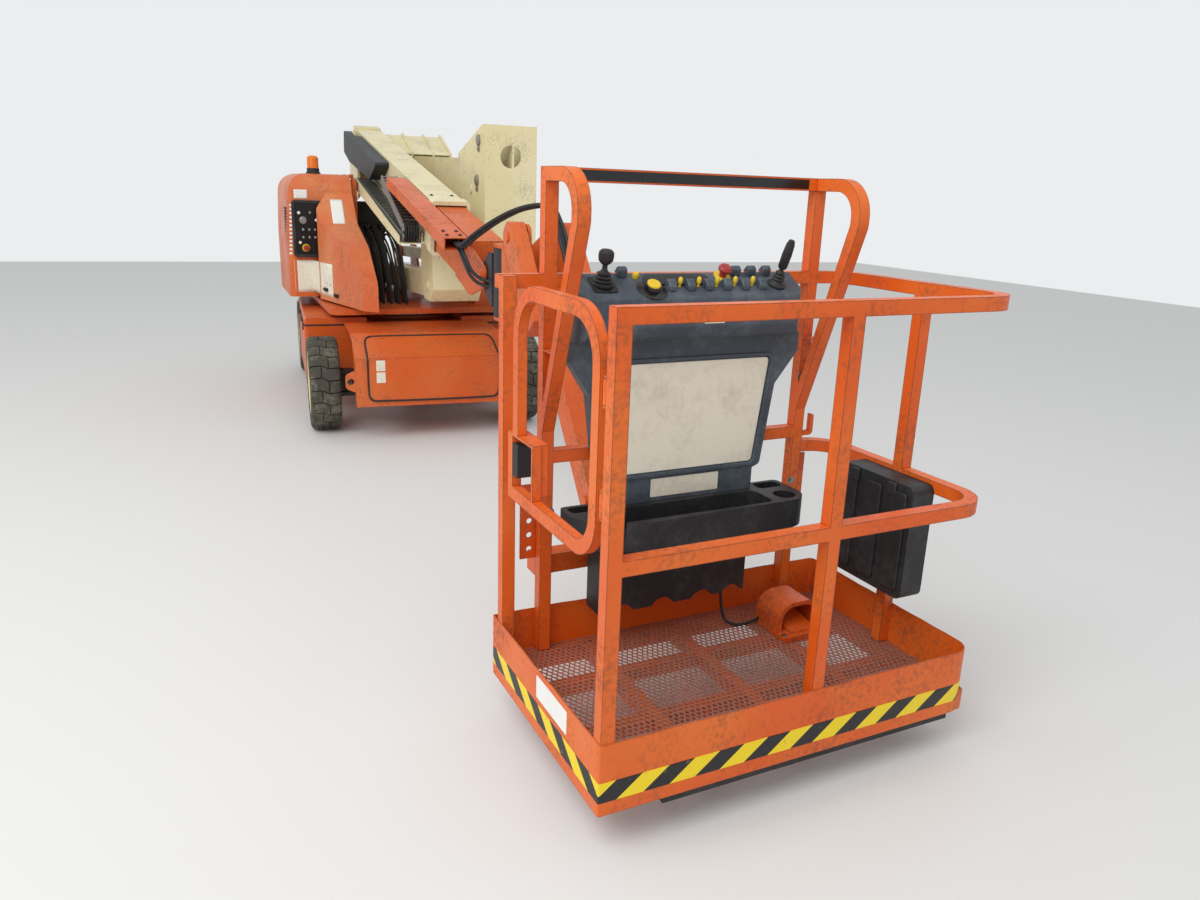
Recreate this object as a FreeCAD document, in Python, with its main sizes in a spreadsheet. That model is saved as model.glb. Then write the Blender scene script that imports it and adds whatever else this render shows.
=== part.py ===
import FreeCAD, Part
import math
import os
import Sketcher
from FreeCAD import Vector

# Articulating boom lift, parked with its booms stowed.
# Millimetres. +X runs from the chassis to the platform, +Y to the machine's left, +Z up.
# The origin is on the ground under the middle of the stowed machine.

doc = FreeCAD.newDocument("boom_lift")
sheet = doc.addObject("Spreadsheet::Sheet", "Sheet")

# Driving sizes: name, millimetres or degrees, what it sets
SIZES = [
    ("slew_x", -1901, "slew axis, from the middle of the stowed machine"),
    ("chassis_turn", -4, "chassis against the turntable as it parks"),
    ("running_gap", 0.5, "gap between faces that turn on each other"),
    ("pin_gap", 0.3, "radial gap round a pin"),
    ("clear_gap", 6, "side clearance between moving members"),
    # Chassis
    ("wheelbase", 2010, "between the axles"),
    ("axle_z", 300, "axle height"),
    ("frame_width", 660, "chassis box, across"),
    ("frame_low", 345, "chassis box, underside"),
    ("frame_top", 622, "chassis box, top"),
    ("frame_overrun", 60, "chassis box past the axles"),
    ("cover_nose", 430, "end cover, past the axle"),
    ("cover_width", 970, "end cover, across"),
    ("cover_low", 225, "end cover, bottom edge"),
    ("cover_crease_z", 525, "end cover, crease between face and slope"),
    ("cover_slope_run", 285, "end cover, length of the sloping panel"),
    ("tie_down_back", 24, "tie-down lug, behind the end cover's face"),
    ("tie_down_thick", 16, "tie-down lug, plate"),
    ("tie_down_radius", 20, "tie-down lug, hole"),
    ("arch_radius", 376, "wheel arch"),
    ("arch_top", 612, "wheel arch, flat roof"),
    ("box_low", 205, "side box, underside"),
    ("box_top", 665, "side box, top"),
    ("box_outer", 745, "side box, outer face"),
    ("box_rear_gap", 365, "side box, rear end from the rear axle"),
    ("box_front_gap", 393, "side box, front end from the front axle"),
    ("box_round", 22, "side box, outer edges"),
    ("beam_depth", 100, "axle beam, height"),
    ("beam_thick", 110, "axle beam, along the machine"),
    ("kingpin_y", 545, "kingpin, from the centre line"),
    ("kingpin_radius", 20, "kingpin"),
    ("lug_radius", 48, "yoke lug round the kingpin"),
    ("lug_thick", 24, "yoke lug"),
    ("barrel_radius", 40, "knuckle barrel"),
    ("barrel_height", 108, "knuckle barrel"),
    ("spindle_radius", 32, "wheel spindle"),
    ("steer_arm", 130, "steering arm, behind the kingpin"),
    ("steer_arm_inset", 25, "steering arm's ball, inboard of the kingpin"),
    ("tie_rod_radius", 13, "tie rod"),
    # Wheels
    ("tyre_radius", 300, "tyre, outside"),
    ("tyre_width", 190, "tyre, across"),
    ("tyre_round", 26, "tyre shoulder"),
    ("rim_radius", 205, "rim, under the tyre"),
    ("rim_wall", 14, "rim barrel and web"),
    ("rim_dish", 52, "depth of the rim's outer dish"),
    ("wheel_y", 655, "wheel's centre plane"),
    ("hub_radius", 72, "wheel hub"),
    # Turntable
    ("ring_low", 640, "slew ring, underside"),
    ("ring_top", 692, "slew ring, top"),
    ("ring_radius", 330, "slew ring"),
    ("pedestal_radius", 390, "raised seat of the slew ring"),
    ("deck_thick", 38, "turntable plate"),
    ("deck_rear", 880, "turntable plate, behind the slew axis"),
    ("deck_front", 660, "turntable plate, ahead of the slew axis"),
    ("deck_right", 620, "turntable plate, right edge"),
    ("deck_left", 700, "turntable plate, left edge"),
    ("weight_height", 430, "left counterweight, height"),
    ("hood_right", 812, "hood, outer side"),
    ("hood_inner", 350, "hood, inner edge"),
    ("hood_rear", 900, "hood, rear end behind the slew axis"),
    ("hood_face", 0, "hood, face with the ground controls, from the slew axis"),
    ("cowl_front", 955, "cowl, nose ahead of the slew axis"),
    ("cowl_bulge", 625, "cowl, its widest place across the machine"),
    ("cowl_top", 1485, "cowl, where it leaves the hood's face"),
    ("hood_low", 745, "hood, bottom edge"),
    ("hood_top", 1610, "hood, top"),
    ("hood_wall", 12, "hood, shell"),
    ("hood_hinge_y", -338, "hood hinge, across the machine"),
    ("hood_hinge_z", 1602, "hood hinge, height"),
    ("panel_width", 216, "ground control panel, across"),
    ("panel_height", 396, "ground control panel, height"),
    ("panel_z", 1228, "ground control panel, middle"),
    ("beacon_radius", 42, "beacon dome"),
    ("beacon_height", 130, "beacon, over the hood"),
    ("hood_hinge_radius", 8, "hood hinge pin"),
    ("hood_frame", 36, "tube of the hood's frame"),
    # Riser lanes, from the centre line
    ("cheek_thick", 18, "riser cheek plates"),
    ("low_lane_right", -50, "lower riser, outer face of the right cheek"),
    ("low_lane_left", 270, "lower riser, outer face of the left cheek"),
    ("high_lane_right", 260, "upper riser, outer face of the right cheek"),
    ("high_lane_left", 600, "upper riser, outer face of the left cheek"),
    ("riser_arm_width", 150, "riser arm, across"),
    ("riser_link_width", 84, "riser link, across"),
    # Riser pins, from the slew axis
    ("low_pin_x", -780, "lower arm, rear pin"),
    ("low_pin_z", 850, "lower arm, rear pin"),
    ("low_front_x", 1060, "lower arm, front pin"),
    ("low_front_z", 930, "lower arm, front pin"),
    ("low_link_dx", -70, "lower link pins, from the arm pins"),
    ("low_link_dz", 170, "lower link pins, from the arm pins"),
    ("high_front_x", 1010, "upper arm, front pin"),
    ("high_front_z", 1545, "upper arm, front pin"),
    ("high_pin_x", -990, "upper arm, rear pin"),
    ("high_pin_z", 1600, "upper arm, rear pin"),
    ("high_link_dx", 60, "upper link pins, from the arm pins"),
    ("high_link_dz", -170, "upper link pins, from the arm pins"),
    ("riser_pin_radius", 28, "riser pins"),
    ("low_arm_half", 80, "lower arm, half depth"),
    ("high_arm_above", 190, "upper arm, above its pins"),
    ("high_arm_below", 80, "upper arm, below its pins"),
    ("riser_link_half", 40, "riser links, half depth"),
    ("riser_wall", 8, "riser arm plates"),
    ("riser_web", 12, "plate between a riser's arm and link"),
    ("riser_foot_x", -580, "riser cylinder, foot pin"),
    ("riser_foot_z", 780, "riser cylinder, foot pin"),
    ("riser_eye_x", 120, "riser cylinder, rod's eye"),
    ("riser_eye_z", 900, "riser cylinder, rod's eye"),
    # Uprights
    ("mid_front", 1310, "middle upright, front face"),
    ("mid_top", 1930, "middle upright, top"),
    ("mid_low", 1000, "middle upright, bottom of the upper box"),
    ("mid_foot_under", 95, "middle upright, lower end under the lower riser's front pin"),
    ("mid_shoulder", 1190, "middle upright, top of the lower part"),
    ("mid_hole_y", 430, "round hole in the middle upright's face"),
    ("mid_hole_z", 1745, "round hole in the middle upright's face"),
    ("mid_hole_radius", 68, "round hole in the middle upright's face"),
    ("rear_back", -1300, "rear upright, back face"),
    ("rear_low", 1390, "rear upright, bottom"),
    ("rear_top", 1975, "rear upright, top"),
    # Main boom
    ("boom_y", -35, "plane of the boom, jib and platform"),
    ("boom_pin_x", -1130, "boom pivot"),
    ("boom_pin_z", 1880, "boom pivot"),
    ("boom_slope", 11, "boom as it rests, nose down"),
    ("boom_length", 2780, "boom tube, ahead of its pivot"),
    ("boom_tail", 70, "boom tube, behind its pivot"),
    ("boom_above", 112, "boom tube, above its pivot"),
    ("boom_below", 175, "boom tube, below its pivot"),
    ("boom_width", 200, "boom tube, across"),
    ("boom_wall", 7, "boom tube plates"),
    ("boom_pin_radius", 35, "boom pivot pin"),
    ("boom_cheek", 18, "boom cheeks of the rear upright"),
    ("collar_length", 70, "nose collar"),
    ("collar_thick", 16, "nose collar, outside the tube"),
    ("main_foot_x", -970, "main lift cylinder, foot pin"),
    ("main_foot_z", 1580, "main lift cylinder, foot pin"),
    ("main_eye_along", 1000, "main lift cylinder, rod's eye along the boom"),
    ("main_eye_under", 285, "main lift cylinder, rod's eye under the boom's line"),
    # Fly boom
    ("pad_thick", 8.5, "wear pads between boom and fly"),
    ("fly_wall", 6, "fly tube plates"),
    ("fly_rear", 420, "rear end of the fly tube inside the boom"),
    ("fly_front", 3560, "front end of the fly tube"),
    ("nose_pin", 3780, "level pin, along the boom"),
    ("nose_pin_under", 20, "level pin, under the boom's line"),
    ("nose_pin_radius", 24, "level pin"),
    ("nose_plate", 14, "fly nose plates"),
    ("push_rear", 2100, "cable tube, rear end along the boom"),
    ("push_front", 3605, "cable tube, front end along the boom"),
    ("push_half", 60, "cable tube, half width"),
    ("push_low", 60, "cable tube, underside from the boom's line"),
    ("push_height", 62, "cable tube, height"),
    ("track_rear", 1850, "power track, rear end of its upper run"),
    ("track_front", 2600, "power track, its bend along the boom"),
    ("track_low", -175, "power track, underside from the boom's line"),
    ("track_high", 100, "power track, top of its upper run's rear end"),
    ("track_bend", 134, "power track, height of its bend"),
    ("track_link", 58, "power track, height of a link"),
    ("tray_rear", 900, "track tray, rear end along the boom"),
    ("tray_front", 2560, "track tray, front end along the boom"),
    ("cover_rear", 60, "hose cover, rear end along the boom"),
    ("cover_front", 1470, "hose cover, front end along the boom"),
    ("cover_out", 200, "hose cover, outer face from the boom's plane"),
    # Jib
    ("swing_x", 2760, "jib swing axis"),
    ("swing_low", 962, "jib swing actuator, bottom"),
    ("swing_top", 1288, "jib swing actuator, top"),
    ("swing_radius", 85, "jib swing actuator"),
    ("jib_pin_x", 3180, "jib, top pin"),
    ("jib_pin_z", 1360, "jib, top pin"),
    ("jib_foot_x", 3980, "jib, bottom pin"),
    ("jib_foot_z", 430, "jib, bottom pin"),
    ("jib_link_dx", 38, "jib link pins, from the jib pins"),
    ("jib_link_dz", -166, "jib link pins, from the jib pins"),
    ("jib_pin_radius", 22, "jib pins"),
    ("jib_half", 60, "jib arm, half depth"),
    ("jib_leg_outer", 155, "jib fork, half width outside"),
    ("jib_leg_inner", 86, "jib fork, half width inside"),
    ("jib_body_outer", 98, "jib arm, half width below the fork"),
    ("jib_ear_outer", 80, "jib ears, half width outside"),
    ("jib_ear_thick", 14, "jib ears"),
    ("fork_length", 400, "length of the jib's fork"),
    ("jib_link_right", 15, "jib link, right face from the boom's plane"),
    ("jib_link_width", 45, "jib link, across"),
    ("jib_link_half", 24, "jib link, half depth"),
    ("jib_cylinder_side", 30, "jib cylinder, right of the boom's plane"),
    ("jib_cylinder_foot_x", 3020, "jib cylinder, foot pin"),
    ("jib_cylinder_foot_z", 1200, "jib cylinder, foot pin"),
    ("jib_eye_along", 650, "jib cylinder, rod's eye along the jib"),
    ("jib_eye_under", 75, "jib cylinder, rod's eye under the jib's line"),
    # Cylinders
    ("riser_bore", 46, "riser cylinder, barrel radius"),
    ("main_bore", 40, "main lift cylinder, barrel radius"),
    ("jib_bore", 34, "jib cylinder, barrel radius"),
    ("foot_pin_radius", 22, "cylinder foot pins"),
    # Platform turn actuator
    ("turn_x", 4220, "platform turn axis"),
    ("turn_low", 190, "platform turn actuator, bottom"),
    ("turn_top", 470, "platform turn actuator, top"),
    ("turn_radius", 66, "platform turn actuator"),
    ("platform_turn", 2.7, "platform against the boom as it parks"),
    # Platform
    ("platform_low", 120, "platform, underside above the ground"),
    ("platform_reach", 299, "platform, far edge from the turn axis"),
    ("platform_shift", -42, "platform's middle, from the turn axis"),
    ("platform_depth", 740, "platform, along the boom"),
    ("platform_width", 1220, "platform, across"),
    ("floor_frame", 60, "floor frame, height"),
    ("floor_tube", 40, "floor frame, tube width"),
    ("floor_plate", 5, "platform floor"),
    ("toe_thick", 4, "toe board"),
    ("bumper_height", 26, "rubber bumper under the near side"),
    ("toe_top", 197, "toe board, top edge"),
    ("mid_rail", 655, "middle rail, top"),
    ("far_bar", 709, "bar between the tall posts, top"),
    ("top_rail", 1219, "top rail, top"),
    ("rail_side", 38, "rail and post tube"),
    ("rail_corner", 120, "rail corners, outside"),
    ("tall_post_y", 437, "tall posts, inner face from the middle"),
    ("mid_post_y", 36, "post in the near side, from the middle"),
    ("latch_post_inset", 32, "latch post, from the far rail"),
    ("end_post_back", 330, "post in the left end, from the near edge"),
    ("hoop_top", 1503, "overhead hoop, top"),
    ("hoop_reach", 245, "overhead hoop, ahead of its posts"),
    ("hoop_corner", 110, "overhead hoop, bend of its struts"),
    ("hoop_bend", 1365, "overhead hoop, top of its slanting struts"),
    ("hoop_foot", 800, "overhead hoop, where its struts meet the posts"),
    ("gate_hinge_inset", 60, "gate hinge, from the platform's outer edge"),
    ("gate_length", 532, "gate, from its hinge"),
    ("gate_low", 615, "gate loop, bottom"),
    ("gate_high", 1212, "gate loop, top"),
    ("gate_tube", 38, "gate loop, tube"),
    ("gate_thick", 26, "gate loop, through"),
    ("gate_corner", 135, "gate loop, corners"),
    ("latch_high", 805, "latch frame on the gate, top"),
    ("latch_length", 175, "latch frame on the gate, along the gate"),
    ("desk_left", -412, "console, left end from the platform's middle"),
    ("desk_right", 345, "console, right end"),
    ("desk_depth", 114, "console, front to back"),
    ("desk_low", 1036, "console, underside"),
    ("desk_back", 1222, "console, top at the back"),
    ("desk_front", 1160, "console, top at the front"),
    ("board_thick", 44, "placard board"),
    ("tray_top", 530, "tool tray, rim"),
    ("tray_low", 438, "tool tray, underside"),
    ("tray_reach", 211, "tool tray, ahead of the rail"),
    ("lower_box_low", 195, "box under the tray, underside"),
    ("case_low", 286, "document case, bottom"),
    ("case_high", 643, "document case, top"),
    ("case_thick", 82, "document case"),
]


class Size:
    """A number that also keeps the words that bind it to the sheet."""

    def __init__(self, value, text):
        self.value = float(value)
        self.text = text

    def __add__(self, other):
        return Size(self.value + number(other), f"({self.text} + {text_of(other)})")

    def __radd__(self, other):
        return self + other

    def __sub__(self, other):
        return Size(self.value - number(other), f"({self.text} - {text_of(other)})")

    def __rsub__(self, other):
        return Size(number(other) - self.value, f"({text_of(other)} - {self.text})")

    def __mul__(self, other):
        return Size(self.value * number(other), f"({self.text} * {text_of(other)})")

    def __rmul__(self, other):
        return self * other

    def __truediv__(self, other):
        return Size(self.value / number(other), f"({self.text} / {text_of(other)})")

    def __neg__(self):
        return self * -1


def number(size):
    return size.value if isinstance(size, Size) else float(size)


def text_of(size):
    return size.text if isinstance(size, Size) else f"({size})"


def cosine(angle):
    return Size(math.cos(math.radians(number(angle))), f"cos({text_of(angle)})")


def sine(angle):
    return Size(math.sin(math.radians(number(angle))), f"sin({text_of(angle)})")


def distance(run, rise):
    """Length of a line from its run and rise."""
    value = math.hypot(number(run), number(rise))
    return Size(value, f"sqrt({text_of(run)} * {text_of(run)} + {text_of(rise)} * {text_of(rise)})")


def bearing(run, rise):
    """Angle of a line above +X, in degrees."""
    value = math.degrees(math.atan2(number(rise), number(run)))
    return Size(value, f"(atan2({text_of(rise)}; {text_of(run)}) / 1 deg)")


class Sizes:
    """The sheet's sizes by name."""


d = Sizes()
for row, (name, value, note) in enumerate(SIZES, 1):
    sheet.set(f"A{row}", note)
    sheet.set(f"B{row}", str(value))
    sheet.setAlias(f"B{row}", name)
    setattr(d, name, Size(value, f"Sheet.{name}"))
doc.recompute()

# Making and placing

AXES = {"X": Vector(1, 0, 0), "Y": Vector(0, 1, 0), "Z": Vector(0, 0, 1)}


def new(kind, label):
    made = doc.addObject(kind, f"{label}_{len(doc.Objects)}")
    made.Label = made.Name
    return made


def bind(item, prop, size):
    """Ties a property to the sheet, or sets a plain number."""
    item.setExpression(prop, text_of(size))


def place(item, x=0, y=0, z=0, axis=None, angle=0):
    """Puts an item at a point, turned by an angle about an axis."""
    if axis is not None:
        item.Placement = FreeCAD.Placement(Vector(0, 0, 0), FreeCAD.Rotation(AXES[axis], 1))
        bind(item, "Placement.Rotation.Angle", angle)
    bind(item, "Placement.Base.x", x)
    bind(item, "Placement.Base.y", y)
    bind(item, "Placement.Base.z", z)
    return item


def box(label, low, high):
    """A block between two corners."""
    made = new("Part::Box", label)
    for prop, low_side, high_side in zip(("Length", "Width", "Height"), low, high):
        bind(made, prop, high_side - low_side)
    return place(made, *low)


def rod(label, start, length, radius, axis):
    """A round bar from a point along +X, +Y or +Z."""
    made = new("Part::Cylinder", label)
    bind(made, "Radius", radius)
    bind(made, "Height", length)
    turned, angle = {"X": ("Y", 90), "Y": ("X", -90), "Z": (None, 0)}[axis]
    return place(made, *start, axis=turned, angle=angle)


def pin(label, x, z, radius, y_from, y_to):
    """A round bar across the machine."""
    return rod(label, (x, y_from, z), y_to - y_from, radius, "Y")


def hold(sketch, geometry, end, u, v):
    """Ties a point of a sketch to its two distances from the sketch's origin."""
    for kind, size in (("DistanceX", u), ("DistanceY", v)):
        index = sketch.addConstraint(Sketcher.Constraint(kind, -1, 1, geometry, end, number(size)))
        bind(sketch, f"Constraints[{index}]", size)


def add_outline(sketch, outline):
    """A closed outline of straight runs through its corners."""
    first = sketch.GeometryCount
    count = len(outline)
    for index in range(count):
        start = outline[index]
        end = outline[(index + 1) % count]
        line = Part.LineSegment(Vector(number(start[0]), number(start[1]), 0),
                                Vector(number(end[0]), number(end[1]), 0))
        sketch.addGeometry(line, False)
    for index in range(count):
        following = first + (index + 1) % count
        sketch.addConstraint(Sketcher.Constraint("Coincident", first + index, 2, following, 1))
        hold(sketch, first + index, 1, outline[index][0], outline[index][1])


def add_circle(sketch, u, v, radius):
    centre = Vector(number(u), number(v), 0)
    index = sketch.addGeometry(Part.Circle(centre, Vector(0, 0, 1), number(radius)), False)
    held = sketch.addConstraint(Sketcher.Constraint("Radius", index, number(radius)))
    bind(sketch, f"Constraints[{held}]", radius)
    hold(sketch, index, 3, u, v)


ACROSS = {"XY": 2, "XZ": 1, "YZ": 0}


def corner_edges(shape, plane, corners):
    """Names of the edges that stand on these corners of the outline."""
    across = ACROSS[plane]
    found = []
    for index, edge in enumerate(shape.Edges, 1):
        if len(edge.Vertexes) != 2:
            continue
        start, end = (vertex.Point for vertex in edge.Vertexes)
        if abs(abs(end[across] - start[across]) - edge.Length) > 1e-6:
            continue
        u, v = (start[i] for i in range(3) if i != across)
        if any(math.hypot(u - number(corner[0]), v - number(corner[1])) < 0.01 for corner in corners):
            found.append(f"Edge{index}")
    return found


def plate(label, plane, thick, outline, inner=(), circles=()):
    """A plate of even thickness about its plane. A corner (u, v, r) is rounded."""
    body = new("PartDesign::Body", label)
    base = next(item for item in body.Origin.OriginFeatures if item.Role == f"{plane}_Plane")
    sketch = body.newObject("Sketcher::SketchObject", f"{body.Name}_sketch")
    sketch.AttachmentSupport = [(base, "")]
    sketch.MapMode = "FlatFace"
    for loop in (outline, *inner):
        add_outline(sketch, loop)
    for u, v, radius in circles:
        add_circle(sketch, u, v, radius)
    pad = body.newObject("PartDesign::Pad", f"{body.Name}_pad")
    pad.Profile = sketch
    pad.Midplane = True
    bind(pad, "Length", thick)
    corners = [corner for loop in (outline, *inner) for corner in loop if len(corner) == 3]
    for radius in sorted({number(corner[2]) for corner in corners}):
        doc.recompute()
        same = [corner for corner in corners if number(corner[2]) == radius]
        last = body.Tip
        fillet = body.newObject("PartDesign::Fillet", f"{body.Name}_round")
        fillet.Base = (last, corner_edges(last.Shape, plane, same))
        bind(fillet, "Radius", same[0][2])
        body.Tip = fillet
    return body


def cheek(label, y_low, thick, outline, **cuts):
    """An upright plate along the machine, from its right face."""
    return place(plate(label, "XZ", thick, outline, **cuts), 0, y_low + thick / 2, 0)


def slab(label, z_low, thick, outline, **cuts):
    """A level plate, from its underside."""
    return place(plate(label, "XY", thick, outline, **cuts), 0, 0, z_low + thick / 2)


def wall(label, x_low, thick, outline, **cuts):
    """An upright plate across the machine, from its rear face."""
    return place(plate(label, "YZ", thick, outline, **cuts), x_low + thick / 2, 0, 0)


def rectangle(u1, v1, u2, v2, radius=None):
    corners = [(u1, v1), (u2, v1), (u2, v2), (u1, v2)]
    return corners if radius is None else [(u, v, radius) for u, v in corners]


def union(label, *parts):
    made = new("Part::MultiFuse", label)
    made.Shapes = list(parts)
    made.Refine = True
    return made


def remove(label, base, *tools):
    made = new("Part::Cut", label)
    made.Base = base
    made.Tool = tools[0] if len(tools) == 1 else union(f"{label}_tools", *tools)
    made.Refine = True
    return made


def overlap(label, first, second):
    made = new("Part::MultiCommon", label)
    made.Shapes = [first, second]
    made.Refine = True
    return made


def mirrored(label, source, axis):
    """The mirror image through the origin, across one axis."""
    made = new("Part::Mirroring", label)
    made.Source = source
    made.Normal = AXES[axis]
    return made


def group(label, *parts):
    """Separate solids that share one node."""
    made = new("Part::Compound", label)
    made.Links = list(parts)
    return made


def rounded(label, source, radius, chosen):
    """Fillets the edges that the test picks."""
    doc.recompute()
    made = new("Part::Fillet", label)
    made.Base = source
    picked = [index for index, edge in enumerate(source.Shape.Edges, 1) if chosen(edge)]
    made.Edges = [(index, number(radius), number(radius)) for index in picked]
    return made


nodes = {}


def keep(name, item):
    item.Label = name
    nodes[name] = item


def on_chassis(name, item, x=0, y=0, z=0, facing=0):
    """Sets an item in the chassis, which stands turned under the turntable."""
    turned_x = x * cosine(d.chassis_turn) - y * sine(d.chassis_turn)
    turned_y = x * sine(d.chassis_turn) + y * cosine(d.chassis_turn)
    keep(name, place(item, d.slew_x + turned_x, turned_y, z, "Z", d.chassis_turn + facing))


def on_machine(name, item):
    keep(name, place(item, d.slew_x, 0, 0))


def on_boom(name, item):
    keep(name, place(item, d.slew_x + d.boom_pin_x, d.boom_y, d.boom_pin_z, "Y", d.boom_slope))


def on_jib_plane(name, item):
    keep(name, place(item, d.slew_x, d.boom_y, 0))


def on_turn_axis(name, item):
    keep(name, place(item, d.slew_x + d.turn_x, d.boom_y, d.platform_low, "Z", d.platform_turn))


def on_platform(name, item):
    """Sets an item on the platform, whose middle stands beside the turn axis."""
    x = d.slew_x + d.turn_x - d.platform_shift * sine(d.platform_turn)
    y = d.boom_y + d.platform_shift * cosine(d.platform_turn)
    keep(name, place(item, x, y, d.platform_low, "Z", d.platform_turn))


def along(name, item, start, end, y):
    """Lays an item made along +X from one pin towards another."""
    tilt = -bearing(end[0] - start[0], end[1] - start[1])
    keep(name, place(item, d.slew_x + start[0], y, start[1], "Y", tilt))


# Chassis

half_base = d.wheelbase / 2
half_frame = d.frame_width / 2
frame_end = half_base + d.frame_overrun
nose = half_base + d.cover_nose
box_rear = half_base - d.box_rear_gap
box_front = half_base - d.box_front_gap


def chassis_frame():
    hull = box("frame_box", (-frame_end, -half_frame, d.frame_low), (frame_end, half_frame, d.frame_top))
    seat = rod("ring_seat", (0, 0, d.frame_top - 1), d.ring_low - d.frame_top + 1, d.pedestal_radius, "Z")
    on_chassis("chassis_frame", union("frame", hull, seat))


tie_down_z = d.cover_low + 160


def end_cover(label):
    """Sloping end cover with a deck plate over the wheels and an arch at each side."""
    outline = [
        (frame_end, d.cover_low),
        (nose, d.cover_low),
        (nose, d.cover_crease_z),
        (nose - d.cover_slope_run, d.ring_low),
        (box_rear, d.ring_low),
        (box_rear, d.frame_top),
        (frame_end, d.frame_top),
    ]
    shell = plate(f"{label}_form", "XZ", d.cover_width, outline)
    waist = half_frame + 12
    side = d.cover_width / 2 + 20
    tools = []
    for low, high in ((waist, side), (-side, -waist)):
        bay = rod("arch", (half_base, low, d.axle_z), high - low, d.arch_radius, "Y")
        roof = box("arch_roof", (0, low, 0), (nose + 50, high, d.arch_top))
        tools.append(overlap("arch_bay", bay, roof))
    cover = remove(label, shell, *tools)
    lugs = []
    for side in (-1, 1):
        edge = d.cover_width / 2 * side
        lugs.append(wall("tie_down", nose - d.tie_down_back, d.tie_down_thick, [
            (edge - 4 * side, tie_down_z - 70),
            (edge + 60 * side, tie_down_z - 42, 30),
            (edge + 60 * side, tie_down_z + 42, 30),
            (edge - 4 * side, tie_down_z + 70),
        ], circles=[(edge + 28 * side, tie_down_z, d.tie_down_radius)]))
    return union(f"{label}_with_lugs", cover, *lugs)


def end_covers():
    front = end_cover("front_cover")
    rear = mirrored("rear_cover", end_cover("rear_source"), "X")
    on_chassis("end_covers", group("covers", front, rear))


def battery_boxes():
    parts = []
    for low, high in ((half_frame, d.box_outer), (-d.box_outer, -half_frame)):
        tub = box("battery_tub", (-box_rear, low, d.box_low), (box_front, high, d.box_top))
        outer = max(number(low), number(high), key=abs)

        def on_outside(edge, outer=outer):
            points = [vertex.Point for vertex in edge.Vertexes]
            at_face = all(abs(point.y - outer) < 0.01 for point in points)
            level_ends = abs(points[0].z - points[1].z) < 0.01
            return at_face and (not level_ends or points[0].z > number(d.box_top) - 1)
        seat_room = rod("seat_room", (0, 0, d.frame_top - 2), 200, d.pedestal_radius + d.clear_gap, "Z")
        parts.append(remove("battery_box", rounded("battery_tub_round", tub, d.box_round, on_outside),
                            seat_room))
    on_chassis("battery_boxes", group("side_boxes", *parts))


def slew_ring():
    ring = rod("ring", (0, 0, d.ring_low), d.ring_top - d.ring_low, d.ring_radius, "Z")
    on_chassis("slew_ring", group("slew_bearing", ring))


lug_low = d.axle_z - d.barrel_height / 2 - d.clear_gap - d.lug_thick
lug_high = d.axle_z + d.barrel_height / 2 + d.clear_gap
ball_x = half_base - d.steer_arm
ball_y = d.kingpin_y - d.steer_arm_inset


def axles():
    beam_low = d.frame_low - d.beam_depth
    half_beam = d.beam_thick / 2
    beam_end = d.kingpin_y - d.lug_radius - 24
    yoke_top = lug_high + d.lug_thick
    shoulder = beam_end - 75
    parts = [
        box("front_beam", (half_base - half_beam, -shoulder, beam_low),
            (half_base + half_beam, shoulder, d.frame_low)),
        box("beam_neck", (half_base - 28, -beam_end, beam_low), (half_base + 28, beam_end, d.frame_low)),
    ]
    for side in (-1, 1):
        web = beam_end * side
        web_low = web - 20 if side > 0 else web
        parts.append(box("yoke_web", (half_base - 28, web_low, lug_low),
                         (half_base + 28, web_low + 20, yoke_top)))
        root_low = web - 4 if side > 0 else -d.kingpin_y
        root_high = d.kingpin_y if side > 0 else web + 4
        for low in (lug_low, lug_high):
            parts.append(rod("yoke_lug", (half_base, d.kingpin_y * side, low), d.lug_thick, d.lug_radius,
                             "Z"))
            parts.append(box("lug_root", (half_base - d.lug_radius, root_low, low),
                             (half_base + d.lug_radius, root_high, low + d.lug_thick)))
        parts.append(rod("kingpin", (half_base, d.kingpin_y * side, lug_low - 8),
                         yoke_top - lug_low + 16, d.kingpin_radius, "Z"))
    steered = union("steered_axle", *parts)
    reach = d.wheel_y - d.tyre_width / 2 - 30
    rear = box("rear_beam", (-half_base - half_beam, -reach, beam_low),
               (-half_base + half_beam, reach, d.frame_low))
    stub = rod("rear_stubs", (-half_base, -d.wheel_y - 40, d.axle_z), (d.wheel_y + 40) * 2,
               d.spindle_radius, "Y")
    on_chassis("axles", group("axle_pair", steered, union("rear_axle", rear, stub)))


def knuckle(label):
    """The left knuckle: kingpin barrel, wheel spindle and steering arm."""
    barrel = rod("barrel", (half_base, d.kingpin_y, d.axle_z - d.barrel_height / 2),
                 d.barrel_height, d.barrel_radius, "Z")
    spindle = rod("spindle", (half_base, d.kingpin_y, d.axle_z), d.wheel_y + 40 - d.kingpin_y,
                  d.spindle_radius, "Y")
    arm = box("steering_arm", (ball_x, ball_y - 16, d.axle_z - 8), (half_base, ball_y + 28, d.axle_z + 8))
    eye = rod("arm_eye", (ball_x, ball_y, d.axle_z - 8), 16, 22, "Z")
    bore = rod("kingpin_bore", (half_base, d.kingpin_y, lug_low), 200, d.kingpin_radius + d.pin_gap, "Z")
    return remove(label, union("knuckle_solid", barrel, spindle, arm, eye), bore)


def knuckles():
    on_chassis("knuckle_left", group("left_knuckle", knuckle("knuckle_l")))
    on_chassis("knuckle_right", mirrored("right_knuckle", knuckle("knuckle_r"), "Y"))


def tie_rod():
    eye_half = d.tie_rod_radius + 3
    at_z = d.axle_z - 8 - d.running_gap - eye_half
    bar = rod("tie_bar", (ball_x, -ball_y, at_z), ball_y * 2, d.tie_rod_radius, "Y")
    ends = [rod("tie_end", (ball_x, ball_y * side, at_z - eye_half), eye_half * 2, 19, "Z")
            for side in (-1, 1)]
    on_chassis("tie_rod", union("tie", bar, *ends))


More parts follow.
